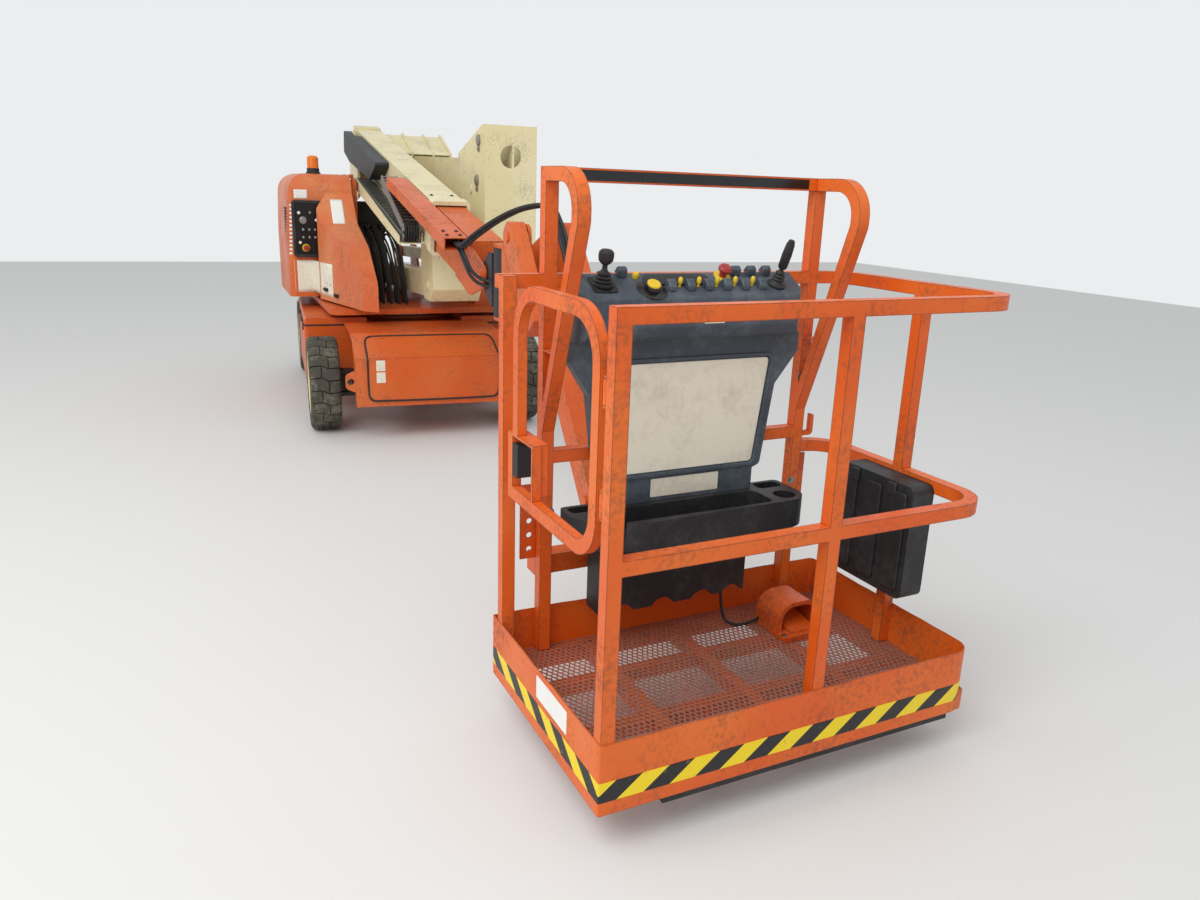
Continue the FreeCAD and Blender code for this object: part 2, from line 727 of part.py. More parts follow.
def wheel(where, axle, side):
    """A solid rubber tyre on a dished rim. It is made about the origin, outer side to +Y."""
    half = d.tyre_width / 2
    band = rod("band", (0, -half, 0), d.tyre_width, d.tyre_radius, "Y")
    band_bore = rod("band_bore", (0, -half - 5, 0), d.tyre_width + 10, d.rim_radius, "Y")
    rim_in_band = number(d.tyre_radius)

    def on_shoulder(edge):
        return hasattr(edge.Curve, "Radius") and abs(edge.Curve.Radius - rim_in_band) < 0.01
    tyre = rounded("tyre", remove("tyre_band", band, band_bore), d.tyre_round, on_shoulder)
    lip = half - 4
    inside = d.rim_radius - d.rim_wall
    web_out = lip - d.rim_dish
    web_in = web_out - d.rim_wall
    barrel = rod("rim_barrel", (0, -lip, 0), lip * 2, d.rim_radius - 0.2, "Y")
    outer_dish = rod("outer_dish", (0, web_out, 0), d.rim_dish + 10, inside, "Y")
    inner_dish = rod("inner_dish", (0, -lip - 10, 0), lip + 10 + web_in, inside, "Y")
    hub = rod("hub", (0, -40, 0), 40 + web_out + 22, d.hub_radius, "Y")
    bore = rod("hub_bore", (0, -60, 0), 60 + 40 + 6, d.spindle_radius + d.pin_gap, "Y")
    rim = remove("rim", union("rim_and_hub", remove("rim_shell", barrel, outer_dish, inner_dish), hub),
                 bore)
    centre = (half_base * axle, d.wheel_y * side, d.axle_z)
    facing = 0 if side > 0 else 180
    on_chassis(f"tyre_{where}", tyre, *centre, facing)
    on_chassis(f"wheel_{where}", rim, *centre, facing)


WHEELS = [("front_left", 1, 1), ("front_right", 1, -1), ("rear_left", -1, 1), ("rear_right", -1, -1)]

# Turntable

deck_low = d.ring_top + d.running_gap
deck_top = deck_low + d.deck_thick
low_arm_y = d.low_lane_right + d.cheek_thick + d.clear_gap
low_web_y = low_arm_y + d.riser_arm_width + d.clear_gap
low_link_y = low_web_y + d.riser_web + d.clear_gap
low_link_rear = (d.low_pin_x + d.low_link_dx, d.low_pin_z + d.low_link_dz)
low_link_front = (d.low_front_x + d.low_link_dx, d.low_front_z + d.low_link_dz)
high_arm_y = d.high_lane_right + d.cheek_thick + d.clear_gap
high_web_y = high_arm_y + d.riser_arm_width + d.clear_gap
high_link_y = high_web_y + d.riser_web + d.clear_gap
high_link_rear = (d.high_pin_x + d.high_link_dx, d.high_pin_z + d.high_link_dz)
high_link_front = (d.high_front_x + d.high_link_dx, d.high_front_z + d.high_link_dz)
riser_lane = d.low_lane_left + 32
riser_lane_end = riser_lane + d.riser_bore * 2


def riser_pins(label, arm_pin, link_pin, right, web, left):
    """The arm's pin ends in the web at its left, the link's pin in the web at its right."""
    over = 12
    web_left = web + d.riser_web
    return [
        pin(f"{label}_arm_pin", *arm_pin, d.riser_pin_radius, right - over, web_left),
        pin(f"{label}_link_pin", *link_pin, d.riser_pin_radius, web, left + over),
    ]


hood_ears = (-d.hood_rear + 40, -d.hood_rear / 2, d.hood_face - 90)


def hood_frame():
    """Posts and a rail behind the hood, with ears that hold its hinge pin."""
    rail_top = d.hood_hinge_z - 26
    low_y = d.hood_hinge_y - 2
    parts = [box("hood_rail", (hood_ears[0] - 20, low_y, rail_top - d.hood_frame),
                 (hood_ears[-1] + 28, low_y + d.hood_frame, rail_top))]
    for x in (hood_ears[0] - 20, hood_ears[-1] - 8):
        parts.append(box("hood_post", (x, low_y, deck_top - 2),
                         (x + d.hood_frame, low_y + d.hood_frame, rail_top)))
    for x in hood_ears:
        parts.append(box("hood_ear", (x, low_y, rail_top - 2), (x + 8, low_y + 20, d.hood_hinge_z + 12)))
    pin_start = hood_ears[0] - 6
    parts.append(rod("hood_pin", (pin_start, d.hood_hinge_y, d.hood_hinge_z),
                     hood_ears[-1] + 14 - pin_start,
                     d.hood_hinge_radius, "X"))
    return parts


def turntable():
    deck = slab("deck", deck_low, d.deck_thick, [
        (-d.deck_rear, -d.deck_right, 200),
        (d.deck_front, -d.deck_right, 90),
        (d.deck_front, d.deck_left, 90),
        (-d.deck_rear, d.deck_left, 200),
    ])
    post = [
        (d.low_pin_x - 95, deck_top - 2),
        (d.low_pin_x + 260, deck_top - 2),
        (d.low_pin_x + 70, low_link_rear[1] + 55, 30),
        (low_link_rear[0] - 45, low_link_rear[1] + 55, 30),
    ]
    parts = [deck]
    for low in (d.low_lane_right, d.low_lane_left - d.cheek_thick):
        parts.append(cheek("riser_post", low, d.cheek_thick, post))
    parts.append(cheek("post_web", low_web_y, d.riser_web, post))
    parts += riser_pins("post", (d.low_pin_x, d.low_pin_z), low_link_rear, d.low_lane_right, low_web_y,
                        d.low_lane_left)
    parts += hood_frame()
    foot = [
        (d.riser_foot_x - 70, deck_top - 2),
        (d.riser_foot_x + 70, deck_top - 2),
        (d.riser_foot_x + 36, d.riser_foot_z + 34, 18),
        (d.riser_foot_x - 36, d.riser_foot_z + 34, 18),
    ]
    for low in (riser_lane - 18, riser_lane_end + 6):
        parts.append(cheek("cylinder_ear", low, 12, foot))
    parts.append(pin("foot_pin", d.riser_foot_x, d.riser_foot_z, d.foot_pin_radius,
                     riser_lane - 22, riser_lane_end + 22))
    on_machine("turntable", union("turntable_weldment", *parts))


def counterweight():
    block = slab("left_weight", deck_top, d.weight_height, [
        (-d.deck_rear + 10, riser_lane_end + 26),
        (d.deck_front - 140, riser_lane_end + 26),
        (d.deck_front - 140, d.deck_left + 20, 120),
        (-d.deck_rear + 10, d.deck_left + 20, 190),
    ])
    on_machine("counterweight", group("weight", block))


def power_pack():
    """Tank beside the risers' foot, with the pump motor and its valves ahead of it."""
    inner = -d.hood_hinge_y + 14
    tank = box("tank", (-d.hood_rear + 60, -d.deck_right + 40, deck_top), (-160, -inner, deck_top + 420))
    valves = box("valves", (-162, -inner - 150, deck_top), (240, -inner - 20, deck_top + 240))
    motor_y = -inner - 92
    motor = rod("motor", (20, motor_y, deck_top + 130), 380, 85, "X")
    foot = box("motor_foot", (60, motor_y - 66, deck_top), (360, motor_y + 66, deck_top + 60))
    on_machine("power_pack", union("pack", tank, valves, motor, foot))


def hood_form(label, inset, open_by):
    """The hood's outside, or its inside drawn in by the shell's thickness: a block and a lower cowl."""
    low = d.hood_low - open_by
    inner = -d.hood_inner + open_by
    top = d.hood_top - inset
    block_plan = slab(f"{label}_block_plan", low, top - low, [
        (-d.hood_rear + inset, -d.hood_right + inset, 150 - inset),
        (d.hood_face - inset, -d.hood_right + inset, 46 - inset),
        (d.hood_face - inset, inner),
        (-d.hood_rear + inset, inner),
    ])
    block_side = cheek(f"{label}_block_side", -d.hood_right - 20, d.hood_right + 20, [
        (-d.hood_rear + inset, d.hood_low - 60),
        (d.hood_face - inset, d.hood_low - 60),
        (d.hood_face - inset, top, 130 - inset),
        (-d.hood_rear + inset, top, 150 - inset),
    ])
    block_end = wall(f"{label}_block_end", -d.hood_rear - 20, d.hood_rear + d.hood_face + 40, [
        (-d.hood_right + inset - 26, low - 20),
        (inner, low - 20),
        (inner, top),
        (-d.hood_right + inset + 26, top, 140 - inset),
    ])
    block = overlap(f"{label}_block", overlap(f"{label}_block_form", block_plan, block_side), block_end)
    back = d.hood_face - 60
    cowl_plan = slab(f"{label}_cowl_plan", low, d.cowl_top + 40 - low, [
        (back, -d.hood_inner - 195 + inset),
        (d.hood_face + 20, -d.hood_inner - 195 + inset, 30),
        (d.hood_face + 120, -d.cowl_bulge + inset, 60 - inset),
        (d.cowl_front - 80, -d.hood_inner - 80 + inset, 60 - inset),
        (d.cowl_front - inset, inner),
        (back, inner),
    ])
    cowl_side = cheek(f"{label}_cowl_side", -d.hood_right - 20, d.hood_right + 20, [
        (back, d.hood_low - 60),
        (d.cowl_front - inset, d.hood_low - 60),
        (d.cowl_front - 5 - inset, d.hood_low + 185 - inset, 90 - inset),
        (d.cowl_front - 315 - inset * 0.7, d.cowl_top - 339 - inset, 200),
        (d.hood_face + 210 - inset * 0.7, d.cowl_top - 209 - inset, 110),
        (d.hood_face, d.cowl_top - inset),
        (back, d.cowl_top + 15 - inset),
    ])
    cowl = overlap(f"{label}_cowl", cowl_plan, cowl_side)
    return union(f"{label}_form", block, cowl)


def hood():
    """Bulged shell over the power pack, open below and towards the booms."""
    shell = remove("hood_shell", hood_form("hood_outside", Size(0, "0"), Size(0, "0")),
                   hood_form("hood_inside", d.hood_wall, Size(40, "40")))
    knuckles = []
    for ear in hood_ears[:-1]:
        start = (ear + 8 + d.running_gap, d.hood_hinge_y, d.hood_hinge_z)
        knuckle_solid = rod("hood_knuckle", start, 70, d.hood_hinge_radius + 6, "X")
        knuckles.append(knuckle_solid)
    last = (hood_ears[-1] - d.running_gap - 70, d.hood_hinge_y, d.hood_hinge_z)
    knuckles.append(rod("hood_knuckle", last, 70, d.hood_hinge_radius + 6, "X"))
    bore = rod("hood_bore", (hood_ears[0] - 40, d.hood_hinge_y, d.hood_hinge_z), 1300,
               d.hood_hinge_radius + d.pin_gap, "X")
    on_machine("hood", remove("hood_hung", union("hood_knuckled", shell, *knuckles), bore))


def ground_controls():
    """Control panel on the hood's front face, beside the cowl."""
    middle = -d.hood_inner - 195 - 14 - d.panel_width / 2
    panel = wall("panel", d.hood_face + d.pin_gap, 22, rectangle(
        middle - d.panel_width / 2, d.panel_z - d.panel_height / 2,
        middle + d.panel_width / 2, d.panel_z + d.panel_height / 2, 26))
    on_machine("ground_controls", group("control_panel", panel))


def beacon():
    at = (d.hood_face - 190, -d.hood_inner - 240)
    foot = d.beacon_height * 0.3
    base = rod("beacon_base", (*at, d.hood_top), foot + 1, d.beacon_radius * 1.25, "Z")
    dome = rod("beacon_dome", (*at, d.hood_top + foot), d.beacon_height - foot, d.beacon_radius, "Z")
    on_machine("beacon", union("beacon_lamp", base, dome))


# Riser

def arm(label, length, below, above, width, thick, pin_radius):
    """A box arm between two pins, open at both ends, its first pin at the origin."""
    end = below if number(below) < number(above) else above
    corner = end * 0.8
    body = plate(f"{label}_body", "XZ", width, [
        (-end, -below, corner),
        (length + end, -below, corner),
        (length + end, above, corner),
        (-end, above, corner),
    ])
    room = box(f"{label}_room", (-end - 5, -width / 2 + thick, -below + thick),
               (length + end + 5, width / 2 - thick, above - thick))
    bores = [pin(f"{label}_bore", x, 0, pin_radius + d.pin_gap, -width / 2 - 5, width / 2 + 5)
             for x in (0, length)]
    return remove(label, body, room, *bores)


def riser_members():
    """Each riser is a parallelogram: a box arm and a thinner link beside it."""
    low_run = d.low_front_x - d.low_pin_x
    low_rise = d.low_front_z - d.low_pin_z
    low_length = distance(low_run, low_rise)
    low_arm = arm("low_arm", low_length, d.low_arm_half, d.low_arm_half, d.riser_arm_width,
                  d.riser_wall, d.riser_pin_radius)
    low_link = arm("low_link", low_length, d.riser_link_half, d.riser_link_half, d.riser_link_width,
                   d.riser_wall, d.riser_pin_radius)
    # The cylinder pushes on a lug that stands out on the arm's left
    eye_run = d.riser_eye_x - d.low_pin_x
    eye_rise = d.riser_eye_z - d.low_pin_z
    eye_along = (eye_run * low_run + eye_rise * low_rise) / low_length
    tube = pin("lug_tube", eye_along, 0, 34, d.riser_arm_width / 2 - 1,
               riser_lane - 16 - low_arm_y - d.riser_arm_width / 2)
    lug = cheek("lug_plate", riser_lane - 18 - low_arm_y - d.riser_arm_width / 2, 12, rectangle(
        eye_along - 60, -60, eye_along + 60, 60, 40))
    along("lower_riser_arm", union("low_arm_lug", low_arm, tube, lug),
          (d.low_pin_x, d.low_pin_z), (d.low_front_x, d.low_front_z), low_arm_y + d.riser_arm_width / 2)
    along("lower_riser_link", low_link, low_link_rear, low_link_front,
          low_link_y + d.riser_link_width / 2)
    high_run = d.high_pin_x - d.high_front_x
    high_rise = d.high_pin_z - d.high_front_z
    high_length = distance(high_run, high_rise)
    high_arm = arm("high_arm", high_length, d.high_arm_below, d.high_arm_above, d.riser_arm_width,
                   d.riser_wall, d.riser_pin_radius)
    high_link = arm("high_link", high_length, d.riser_link_half, d.riser_link_half, d.riser_link_width,
                    d.riser_wall, d.riser_pin_radius)
    # Laid from the rear pin, so that the deep side stays up
    along("upper_riser_arm", high_arm, (d.high_pin_x, d.high_pin_z), (d.high_front_x, d.high_front_z),
          high_arm_y + d.riser_arm_width / 2)
    along("upper_riser_link", high_link, high_link_rear, high_link_front,
          high_link_y + d.riser_link_width / 2)


def middle_upright():
    """Box that joins the risers: a wide head for the upper one, a tapered foot for the lower one."""
    head = [
        (900, d.mid_low),
        (d.mid_front, d.mid_low),
        (d.mid_front, d.mid_top),
        (d.mid_front - 50, d.mid_top),
        (690, 1772),
        (690, 1420, 40),
    ]
    foot_front = d.low_front_x + 140
    chin = foot_front - 66
    mid_foot = d.low_front_z - d.mid_foot_under
    foot = [
        (880, mid_foot + 90, 30),
        (960, mid_foot, 30),
        (chin, mid_foot),
        (foot_front, mid_foot + 80),
        (foot_front, d.mid_shoulder),
        (880, d.mid_shoulder),
    ]
    parts = []
    for low in (d.high_lane_right, d.high_lane_left - d.cheek_thick):
        parts.append(cheek("head_cheek", low, d.cheek_thick, head))
    for low in (d.low_lane_right, d.low_lane_left - d.cheek_thick):
        parts.append(cheek("foot_cheek", low, d.cheek_thick, foot))
    hole = (d.mid_hole_y, d.mid_hole_z, d.mid_hole_radius)
    parts.append(wall("head_front", d.mid_front - 18, 18,
                      rectangle(d.high_lane_right, d.mid_low, d.high_lane_left,
                                d.mid_top), circles=[hole]))
    parts.append(slab("head_cap", d.mid_top - 18, 18,
                      rectangle(d.mid_front - 50, d.high_lane_right, d.mid_front, d.high_lane_left)))
    parts.append(slab("head_floor", d.mid_low, 18,
                      rectangle(900, d.high_lane_right, d.mid_front, d.high_lane_left)))
    wrap = [
        (chin, mid_foot),
        (foot_front, mid_foot + 80),
        (foot_front, d.mid_shoulder),
        (foot_front - 14, d.mid_shoulder),
        (foot_front - 14, mid_foot + 86),
        (chin - 6, mid_foot + 12),
    ]
    parts.append(cheek("foot_front", d.low_lane_right, d.low_lane_left - d.low_lane_right, wrap))
    parts.append(cheek("foot_web", low_web_y, d.riser_web, foot))
    parts.append(cheek("head_web", high_web_y, d.riser_web, head))
    parts += riser_pins("foot", (d.low_front_x, d.low_front_z), low_link_front,
                        d.low_lane_right, low_web_y, d.low_lane_left)
    parts += riser_pins("head", (d.high_front_x, d.high_front_z), high_link_front,
                        d.high_lane_right, high_web_y, d.high_lane_left)
    on_machine("middle_upright", union("middle_weldment", *parts))


boom_half = d.boom_width / 2
boom_cheek_in = boom_half + d.clear_gap


def rear_upright():
    """Carries the boom pivot on the right and the upper riser's rear pins on the left."""
    head = [
        (d.rear_back, d.rear_low + 60),
        (d.rear_back + 90, d.rear_low),
        (-860, d.rear_low, 40),
        (-820, d.high_pin_z + 60, 40),
        (-800, d.high_pin_z + 215),
        (d.high_pin_x - 170, d.rear_top),
        (d.rear_back, d.rear_top - 60),
    ]
    boom_head = [
        (d.rear_back, d.rear_low + 60),
        (d.rear_back + 90, d.rear_low),
        (-900, d.rear_low + 60, 60),
        (-900, d.main_foot_z + 70, 60),
        (d.boom_pin_x + 90, d.boom_pin_z + 60, 60),
        (d.boom_pin_x - 40, d.rear_top, 40),
        (d.rear_back, d.rear_top - 60),
    ]
    parts = []
    for low in (d.high_lane_right, d.high_lane_left - d.cheek_thick):
        parts.append(cheek("riser_cheek", low, d.cheek_thick, head))
    right = d.boom_y - boom_cheek_in - d.boom_cheek
    for low in (right, d.boom_y + boom_cheek_in):
        parts.append(cheek("boom_cheek", low, d.boom_cheek, boom_head))
    parts.append(wall("back_plate", d.rear_back, 16,
                      rectangle(right, d.rear_low + 60, d.high_lane_left, d.rear_top - 60)))
    tray = [
        (-800, d.high_pin_z + 205),
        (d.high_pin_x - 170, d.rear_top - 20),
        (d.high_pin_x - 170, d.rear_top - 32),
        (-800, d.high_pin_z + 193 + 4),
    ]
    parts.append(cheek("sloping_tray", d.boom_y + boom_cheek_in,
                       d.high_lane_left - d.boom_y - boom_cheek_in, tray))
    parts.append(cheek("riser_web", high_web_y, d.riser_web, head))
    parts += riser_pins("head", (d.high_pin_x, d.high_pin_z), high_link_rear,
                        d.high_lane_right, high_web_y, d.high_lane_left)
    parts.append(pin("boom_pin", d.boom_pin_x, d.boom_pin_z, d.boom_pin_radius, right - 14,
                     d.boom_y + boom_cheek_in + d.boom_cheek + 14))
    parts.append(pin("cylinder_pin", d.main_foot_x, d.main_foot_z, d.foot_pin_radius, right - 8,
                     d.boom_y + boom_cheek_in + d.boom_cheek + 8))
    on_machine("rear_upright", union("rear_weldment", *parts))


# Cylinders

def cylinder_pair(name, foot, eye, bore, y):
    """A barrel on its foot pin and a rod whose eye stands at the pin it pushes."""
    length = distance(eye[0] - foot[0], eye[1] - foot[1])
    barrel_end = length * 0.82
    tube = rod("barrel_tube", (36, 0, 0), barrel_end - 36, bore, "X")
    gland = rod("barrel_gland", (barrel_end - 40, 0, 0), 44, bore + 4, "X")
    knuckle_eye = rod("barrel_eye", (0, -bore * 0.8, 0), bore * 1.6, 40, "Y")
    solid = union("barrel_solid", tube, gland, knuckle_eye)
    rod_radius = bore * 0.55
    room = rod("barrel_room", (70, 0, 0), barrel_end, rod_radius + d.running_gap, "X")
    foot_bore = rod("foot_bore", (0, -100, 0), 200, d.foot_pin_radius + d.pin_gap, "Y")
    along(f"{name}_barrel", remove("barrel", solid, room, foot_bore), foot, eye, y)
    shaft = rod("rod_shaft", (90, 0, 0), length - 90 - 20, rod_radius, "X")
    rod_eye = rod("rod_eye", (length, -bore * 0.7, 0), bore * 1.4, 34, "Y")
    eye_bore = rod("eye_bore", (length, -100, 0), 200, d.foot_pin_radius - 2, "Y")
    along(f"{name}_rod", remove("rod", union("rod_solid", shaft, rod_eye), eye_bore), foot, eye, y)


def cylinders():
    cylinder_pair("riser_cylinder", (d.riser_foot_x, d.riser_foot_z), (d.riser_eye_x, d.riser_eye_z),
                  d.riser_bore, riser_lane + d.riser_bore)
    main_eye = (d.boom_pin_x + d.main_eye_along * cosine(d.boom_slope) - d.main_eye_under * sine(d.boom_slope),
                d.boom_pin_z - d.main_eye_along * sine(d.boom_slope) - d.main_eye_under * cosine(d.boom_slope))
    cylinder_pair("main_cylinder", (d.main_foot_x, d.main_foot_z), main_eye, d.main_bore, d.boom_y)
    unit_x = jib_run / jib_length
    unit_z = jib_rise / jib_length
    jib_eye = (d.jib_pin_x + d.jib_eye_along * unit_x + d.jib_eye_under * unit_z,
               d.jib_pin_z + d.jib_eye_along * unit_z - d.jib_eye_under * unit_x)
    cylinder_pair("jib_cylinder", (d.jib_cylinder_foot_x, d.jib_cylinder_foot_z), jib_eye, d.jib_bore,
                  d.boom_y - d.jib_cylinder_side)


# Main boom and fly, made along +X from the boom pivot

def main_boom():
    outside = rectangle(-boom_half, -d.boom_below, boom_half, d.boom_above)
    inside = rectangle(-boom_half + d.boom_wall, -d.boom_below + d.boom_wall,
                       boom_half - d.boom_wall, d.boom_above - d.boom_wall)
    tube = wall("boom_tube", -d.boom_tail, d.boom_tail + d.boom_length, outside, inner=[inside])
    ring = rectangle(-boom_half - d.collar_thick, -d.boom_below - d.collar_thick,
                     boom_half + d.collar_thick, d.boom_above + d.collar_thick, 22)
    collar = wall("collar", d.boom_length - d.collar_length, d.collar_length, ring, inner=[outside])
    flange = wall("collar_flange", d.boom_length - 1, 15, ring, inner=[inside])
    cap = slab("tail_cap", d.boom_above - 1, 13, rectangle(-d.boom_tail, -boom_half, 60, boom_half))
    parts = [tube, collar, flange, cap]
    lug = [
        (d.main_eye_along - 75, -d.boom_below + 2),
        (d.main_eye_along + 75, -d.boom_below + 2),
        (d.main_eye_along + 34, -d.main_eye_under - 32, 20),
        (d.main_eye_along - 34, -d.main_eye_under - 32, 20),
    ]
    for low in (-56, 42):
        parts.append(cheek("belly_lug", low, 14, lug))
    bore = rod("boom_bore", (0, -boom_half - 5, 0), d.boom_width + 10, d.boom_pin_radius + d.pin_gap, "Y")
    on_boom("main_boom", remove("boom", union("boom_solid", *parts), bore))


fly_half = boom_half - d.boom_wall - d.pad_thick - d.running_gap
fly_low = -d.boom_below + d.boom_wall + d.pad_thick + d.running_gap
fly_high = d.boom_above - d.boom_wall - d.pad_thick - d.running_gap
nose_plate_high = fly_high - 30


def wear_pads():
    """Black pads in the collar, on all four sides of the fly tube."""
    inner_half = boom_half - d.boom_wall
    low_wall = -d.boom_below + d.boom_wall
    high_wall = d.boom_above - d.boom_wall
    start = d.boom_length - 60
    end = d.boom_length + 14
    pads = []
    for y in (-60, 10):
        pads.append(box("top_pad", (start, y, high_wall - d.pad_thick), (end, y + 50, high_wall)))
        pads.append(box("bottom_pad", (start, y, low_wall), (end, y + 50, low_wall + d.pad_thick)))
    for z in (-130, 10):
        pads.append(box("right_pad", (start, -inner_half, z), (end, -inner_half + d.pad_thick, z + 60)))
        pads.append(box("left_pad", (start, inner_half - d.pad_thick, z), (end, inner_half, z + 60)))
    on_boom("wear_pads", group("pads", *pads))


def fly_boom():
    outside = rectangle(-fly_half, fly_low, fly_half, fly_high)
    inside = rectangle(-fly_half + d.fly_wall, fly_low + d.fly_wall, fly_half - d.fly_wall,
                       fly_high - d.fly_wall)
    tube = wall("fly_tube", d.fly_rear, d.fly_front - d.fly_rear, outside, inner=[inside])
    nose_low = -d.nose_pin_under
    side = [
        (d.fly_front - 260, fly_low),
        (d.fly_front - 260, nose_plate_high),
        (d.fly_front, nose_plate_high),
        (d.nose_pin + 46, nose_low + 50, 40),
        (d.nose_pin + 46, nose_low - 46, 40),
        (d.fly_front + 30, fly_low - 20, 40),
    ]
    parts = [tube]
    for low in (fly_half - 1, -fly_half - d.nose_plate + 1):
        parts.append(cheek("nose_plate", low, d.nose_plate, side))
    end_plate = wall("fly_end", d.fly_front - 12, 12, rectangle(-fly_half, fly_low, fly_half, fly_high))
    parts.append(end_plate)
    parts.append(pin("level_pin", d.nose_pin, nose_low, d.nose_pin_radius, -fly_half - d.nose_plate - 8,
                     fly_half + d.nose_plate + 8))
    on_boom("fly_boom", union("fly", *parts))


push_y = -boom_half - d.collar_thick - d.clear_gap - d.push_half


def cable_tube():
    """Square tube beside the boom that carries the hoses out with the fly."""
    low = d.push_low
    high = d.push_low + d.push_height
    outside = rectangle(push_y - d.push_half, low, push_y + d.push_half, high)
    inside = rectangle(push_y - d.push_half + 5, low + 5, push_y + d.push_half - 5, high - 5)
    tube = wall("push_tube", d.push_rear, d.push_front - d.push_rear, outside, inner=[inside])
    bracket = box("push_bracket", (d.push_front - 140, push_y + d.push_half - 2, nose_plate_high),
                  (d.push_front - 60, -fly_half, fly_high - 6))
    on_boom("cable_tube", union("cable_carrier", tube, bracket))


def power_track():
    """Bar chain that lies in its tray, folds over at the front and rises back to the cable tube."""
    half = d.push_half
    link = d.track_link
    low = d.track_low
    tray_floor = low - d.pin_gap - 8
    tray = wall("tray_floor", d.tray_rear, d.tray_front - d.tray_rear,
                rectangle(push_y - half - 8, tray_floor, push_y + half + 8, tray_floor + 8))
    lip = cheek("tray_side", push_y - half - 14, 8, [
        (d.tray_rear, tray_floor),
        (d.tray_front, tray_floor),
        (d.tray_front, tray_floor + 50),
        (d.tray_rear + 60, tray_floor + 80),
        (d.tray_rear, tray_floor + 60),
    ])
    hanger = box("tray_hanger", (d.tray_rear, push_y + half + 6, tray_floor),
                 (d.tray_front, push_y + half + 14, low + 60))
    arms = [box("tray_arm", (x, push_y + half + 12, low + 4), (x + 60, -boom_half, low + 50))
            for x in (d.tray_rear + 80, d.tray_front - 160)]
    on_boom("track_tray", union("tray", tray, lip, hanger, *arms))
    rise = (d.track_high - low - d.track_bend) / (d.track_front - d.track_rear)
    drop = link * 1.04
    outline = [
        (d.tray_rear + 10, low),
        (d.track_front, low, 62),
        (d.track_front, low + d.track_bend, 56),
        (d.track_rear, d.track_high),
        (d.track_rear, d.track_high - drop),
        (d.track_front - link, low + d.track_bend + link * rise - drop, 12),
        (d.track_front - link, low + link, 12),
        (d.tray_rear + 10, low + link),
    ]
    chain = plate("track_chain", "XZ", (half - 8) * 2, outline)
    on_boom("power_track", group("track", place(chain, 0, push_y, 0)))


def boom_cover():
    """Black cover over the hose ends on the boom's right side. Its rear part stands clear of the pivot cheek."""
    high = d.boom_above - 14
    low = -100
    sweep = 330
    face = cheek("cover_face", -d.cover_out, d.cover_out - boom_half, [
        (sweep, low),
        (d.cover_front - 220, low + 40),
        (d.cover_front, high - 20, 18),
        (d.cover_front - 20, high),
        (sweep, high),
    ])
    tail = cheek("cover_tail", -d.cover_out, d.cover_out - boom_cheek_in - d.boom_cheek - 22, [
        (d.cover_rear, low + 30, 30),
        (sweep + 10, low),
        (sweep + 10, high),
        (d.cover_rear, high, 30),
    ])
    on_boom("boom_cover", union("cover", face, tail))


# Jib, in the boom's plane

nose_x = d.boom_pin_x + d.nose_pin * cosine(d.boom_slope) - d.nose_pin_under * sine(d.boom_slope)
nose_z = d.boom_pin_z - d.nose_pin * sine(d.boom_slope) - d.nose_pin_under * cosine(d.boom_slope)
head_ear = fly_half - d.clear_gap
jib_run = d.jib_foot_x - d.jib_pin_x
jib_rise = d.jib_foot_z - d.jib_pin_z
jib_length = distance(jib_run, jib_rise)


def level_head():
    """Keeps the swing actuator upright at the fly's nose."""
    back = d.swing_x - d.swing_radius
    outline = [
        (nose_x - 46, nose_z - 40, 36),
        (nose_x - 46, nose_z + 44, 36),
        (nose_x + 60, d.swing_top - 30),
        (back + 20, d.swing_top - 30),
        (back + 20, d.swing_low + 40),
        (nose_x + 50, d.swing_low + 70),
    ]
    parts = []
    for low in (head_ear - 16, -head_ear):
        parts.append(cheek("head_ear", low, 16, outline))
    body = remove("head", union("head_solid", *parts,
                                wall("head_back", back - 14, 14, rectangle(-head_ear, d.swing_low + 40,
                                                                           head_ear, d.swing_top - 30))),
                  pin("head_bore", nose_x, nose_z, d.nose_pin_radius + d.pin_gap, -head_ear - 5,
                      head_ear + 5),
                  rod("actuator_seat", (d.swing_x, 0, d.swing_low), d.swing_top - d.swing_low,
                      d.swing_radius, "Z"))
    on_jib_plane("level_head", body)


def jib_actuator():
    core = rod("swing_core", (d.swing_x, 0, d.swing_low), d.swing_top - d.swing_low, d.swing_radius - 0.2,
               "Z")
    on_jib_plane("swing_actuator", group("swing", core))


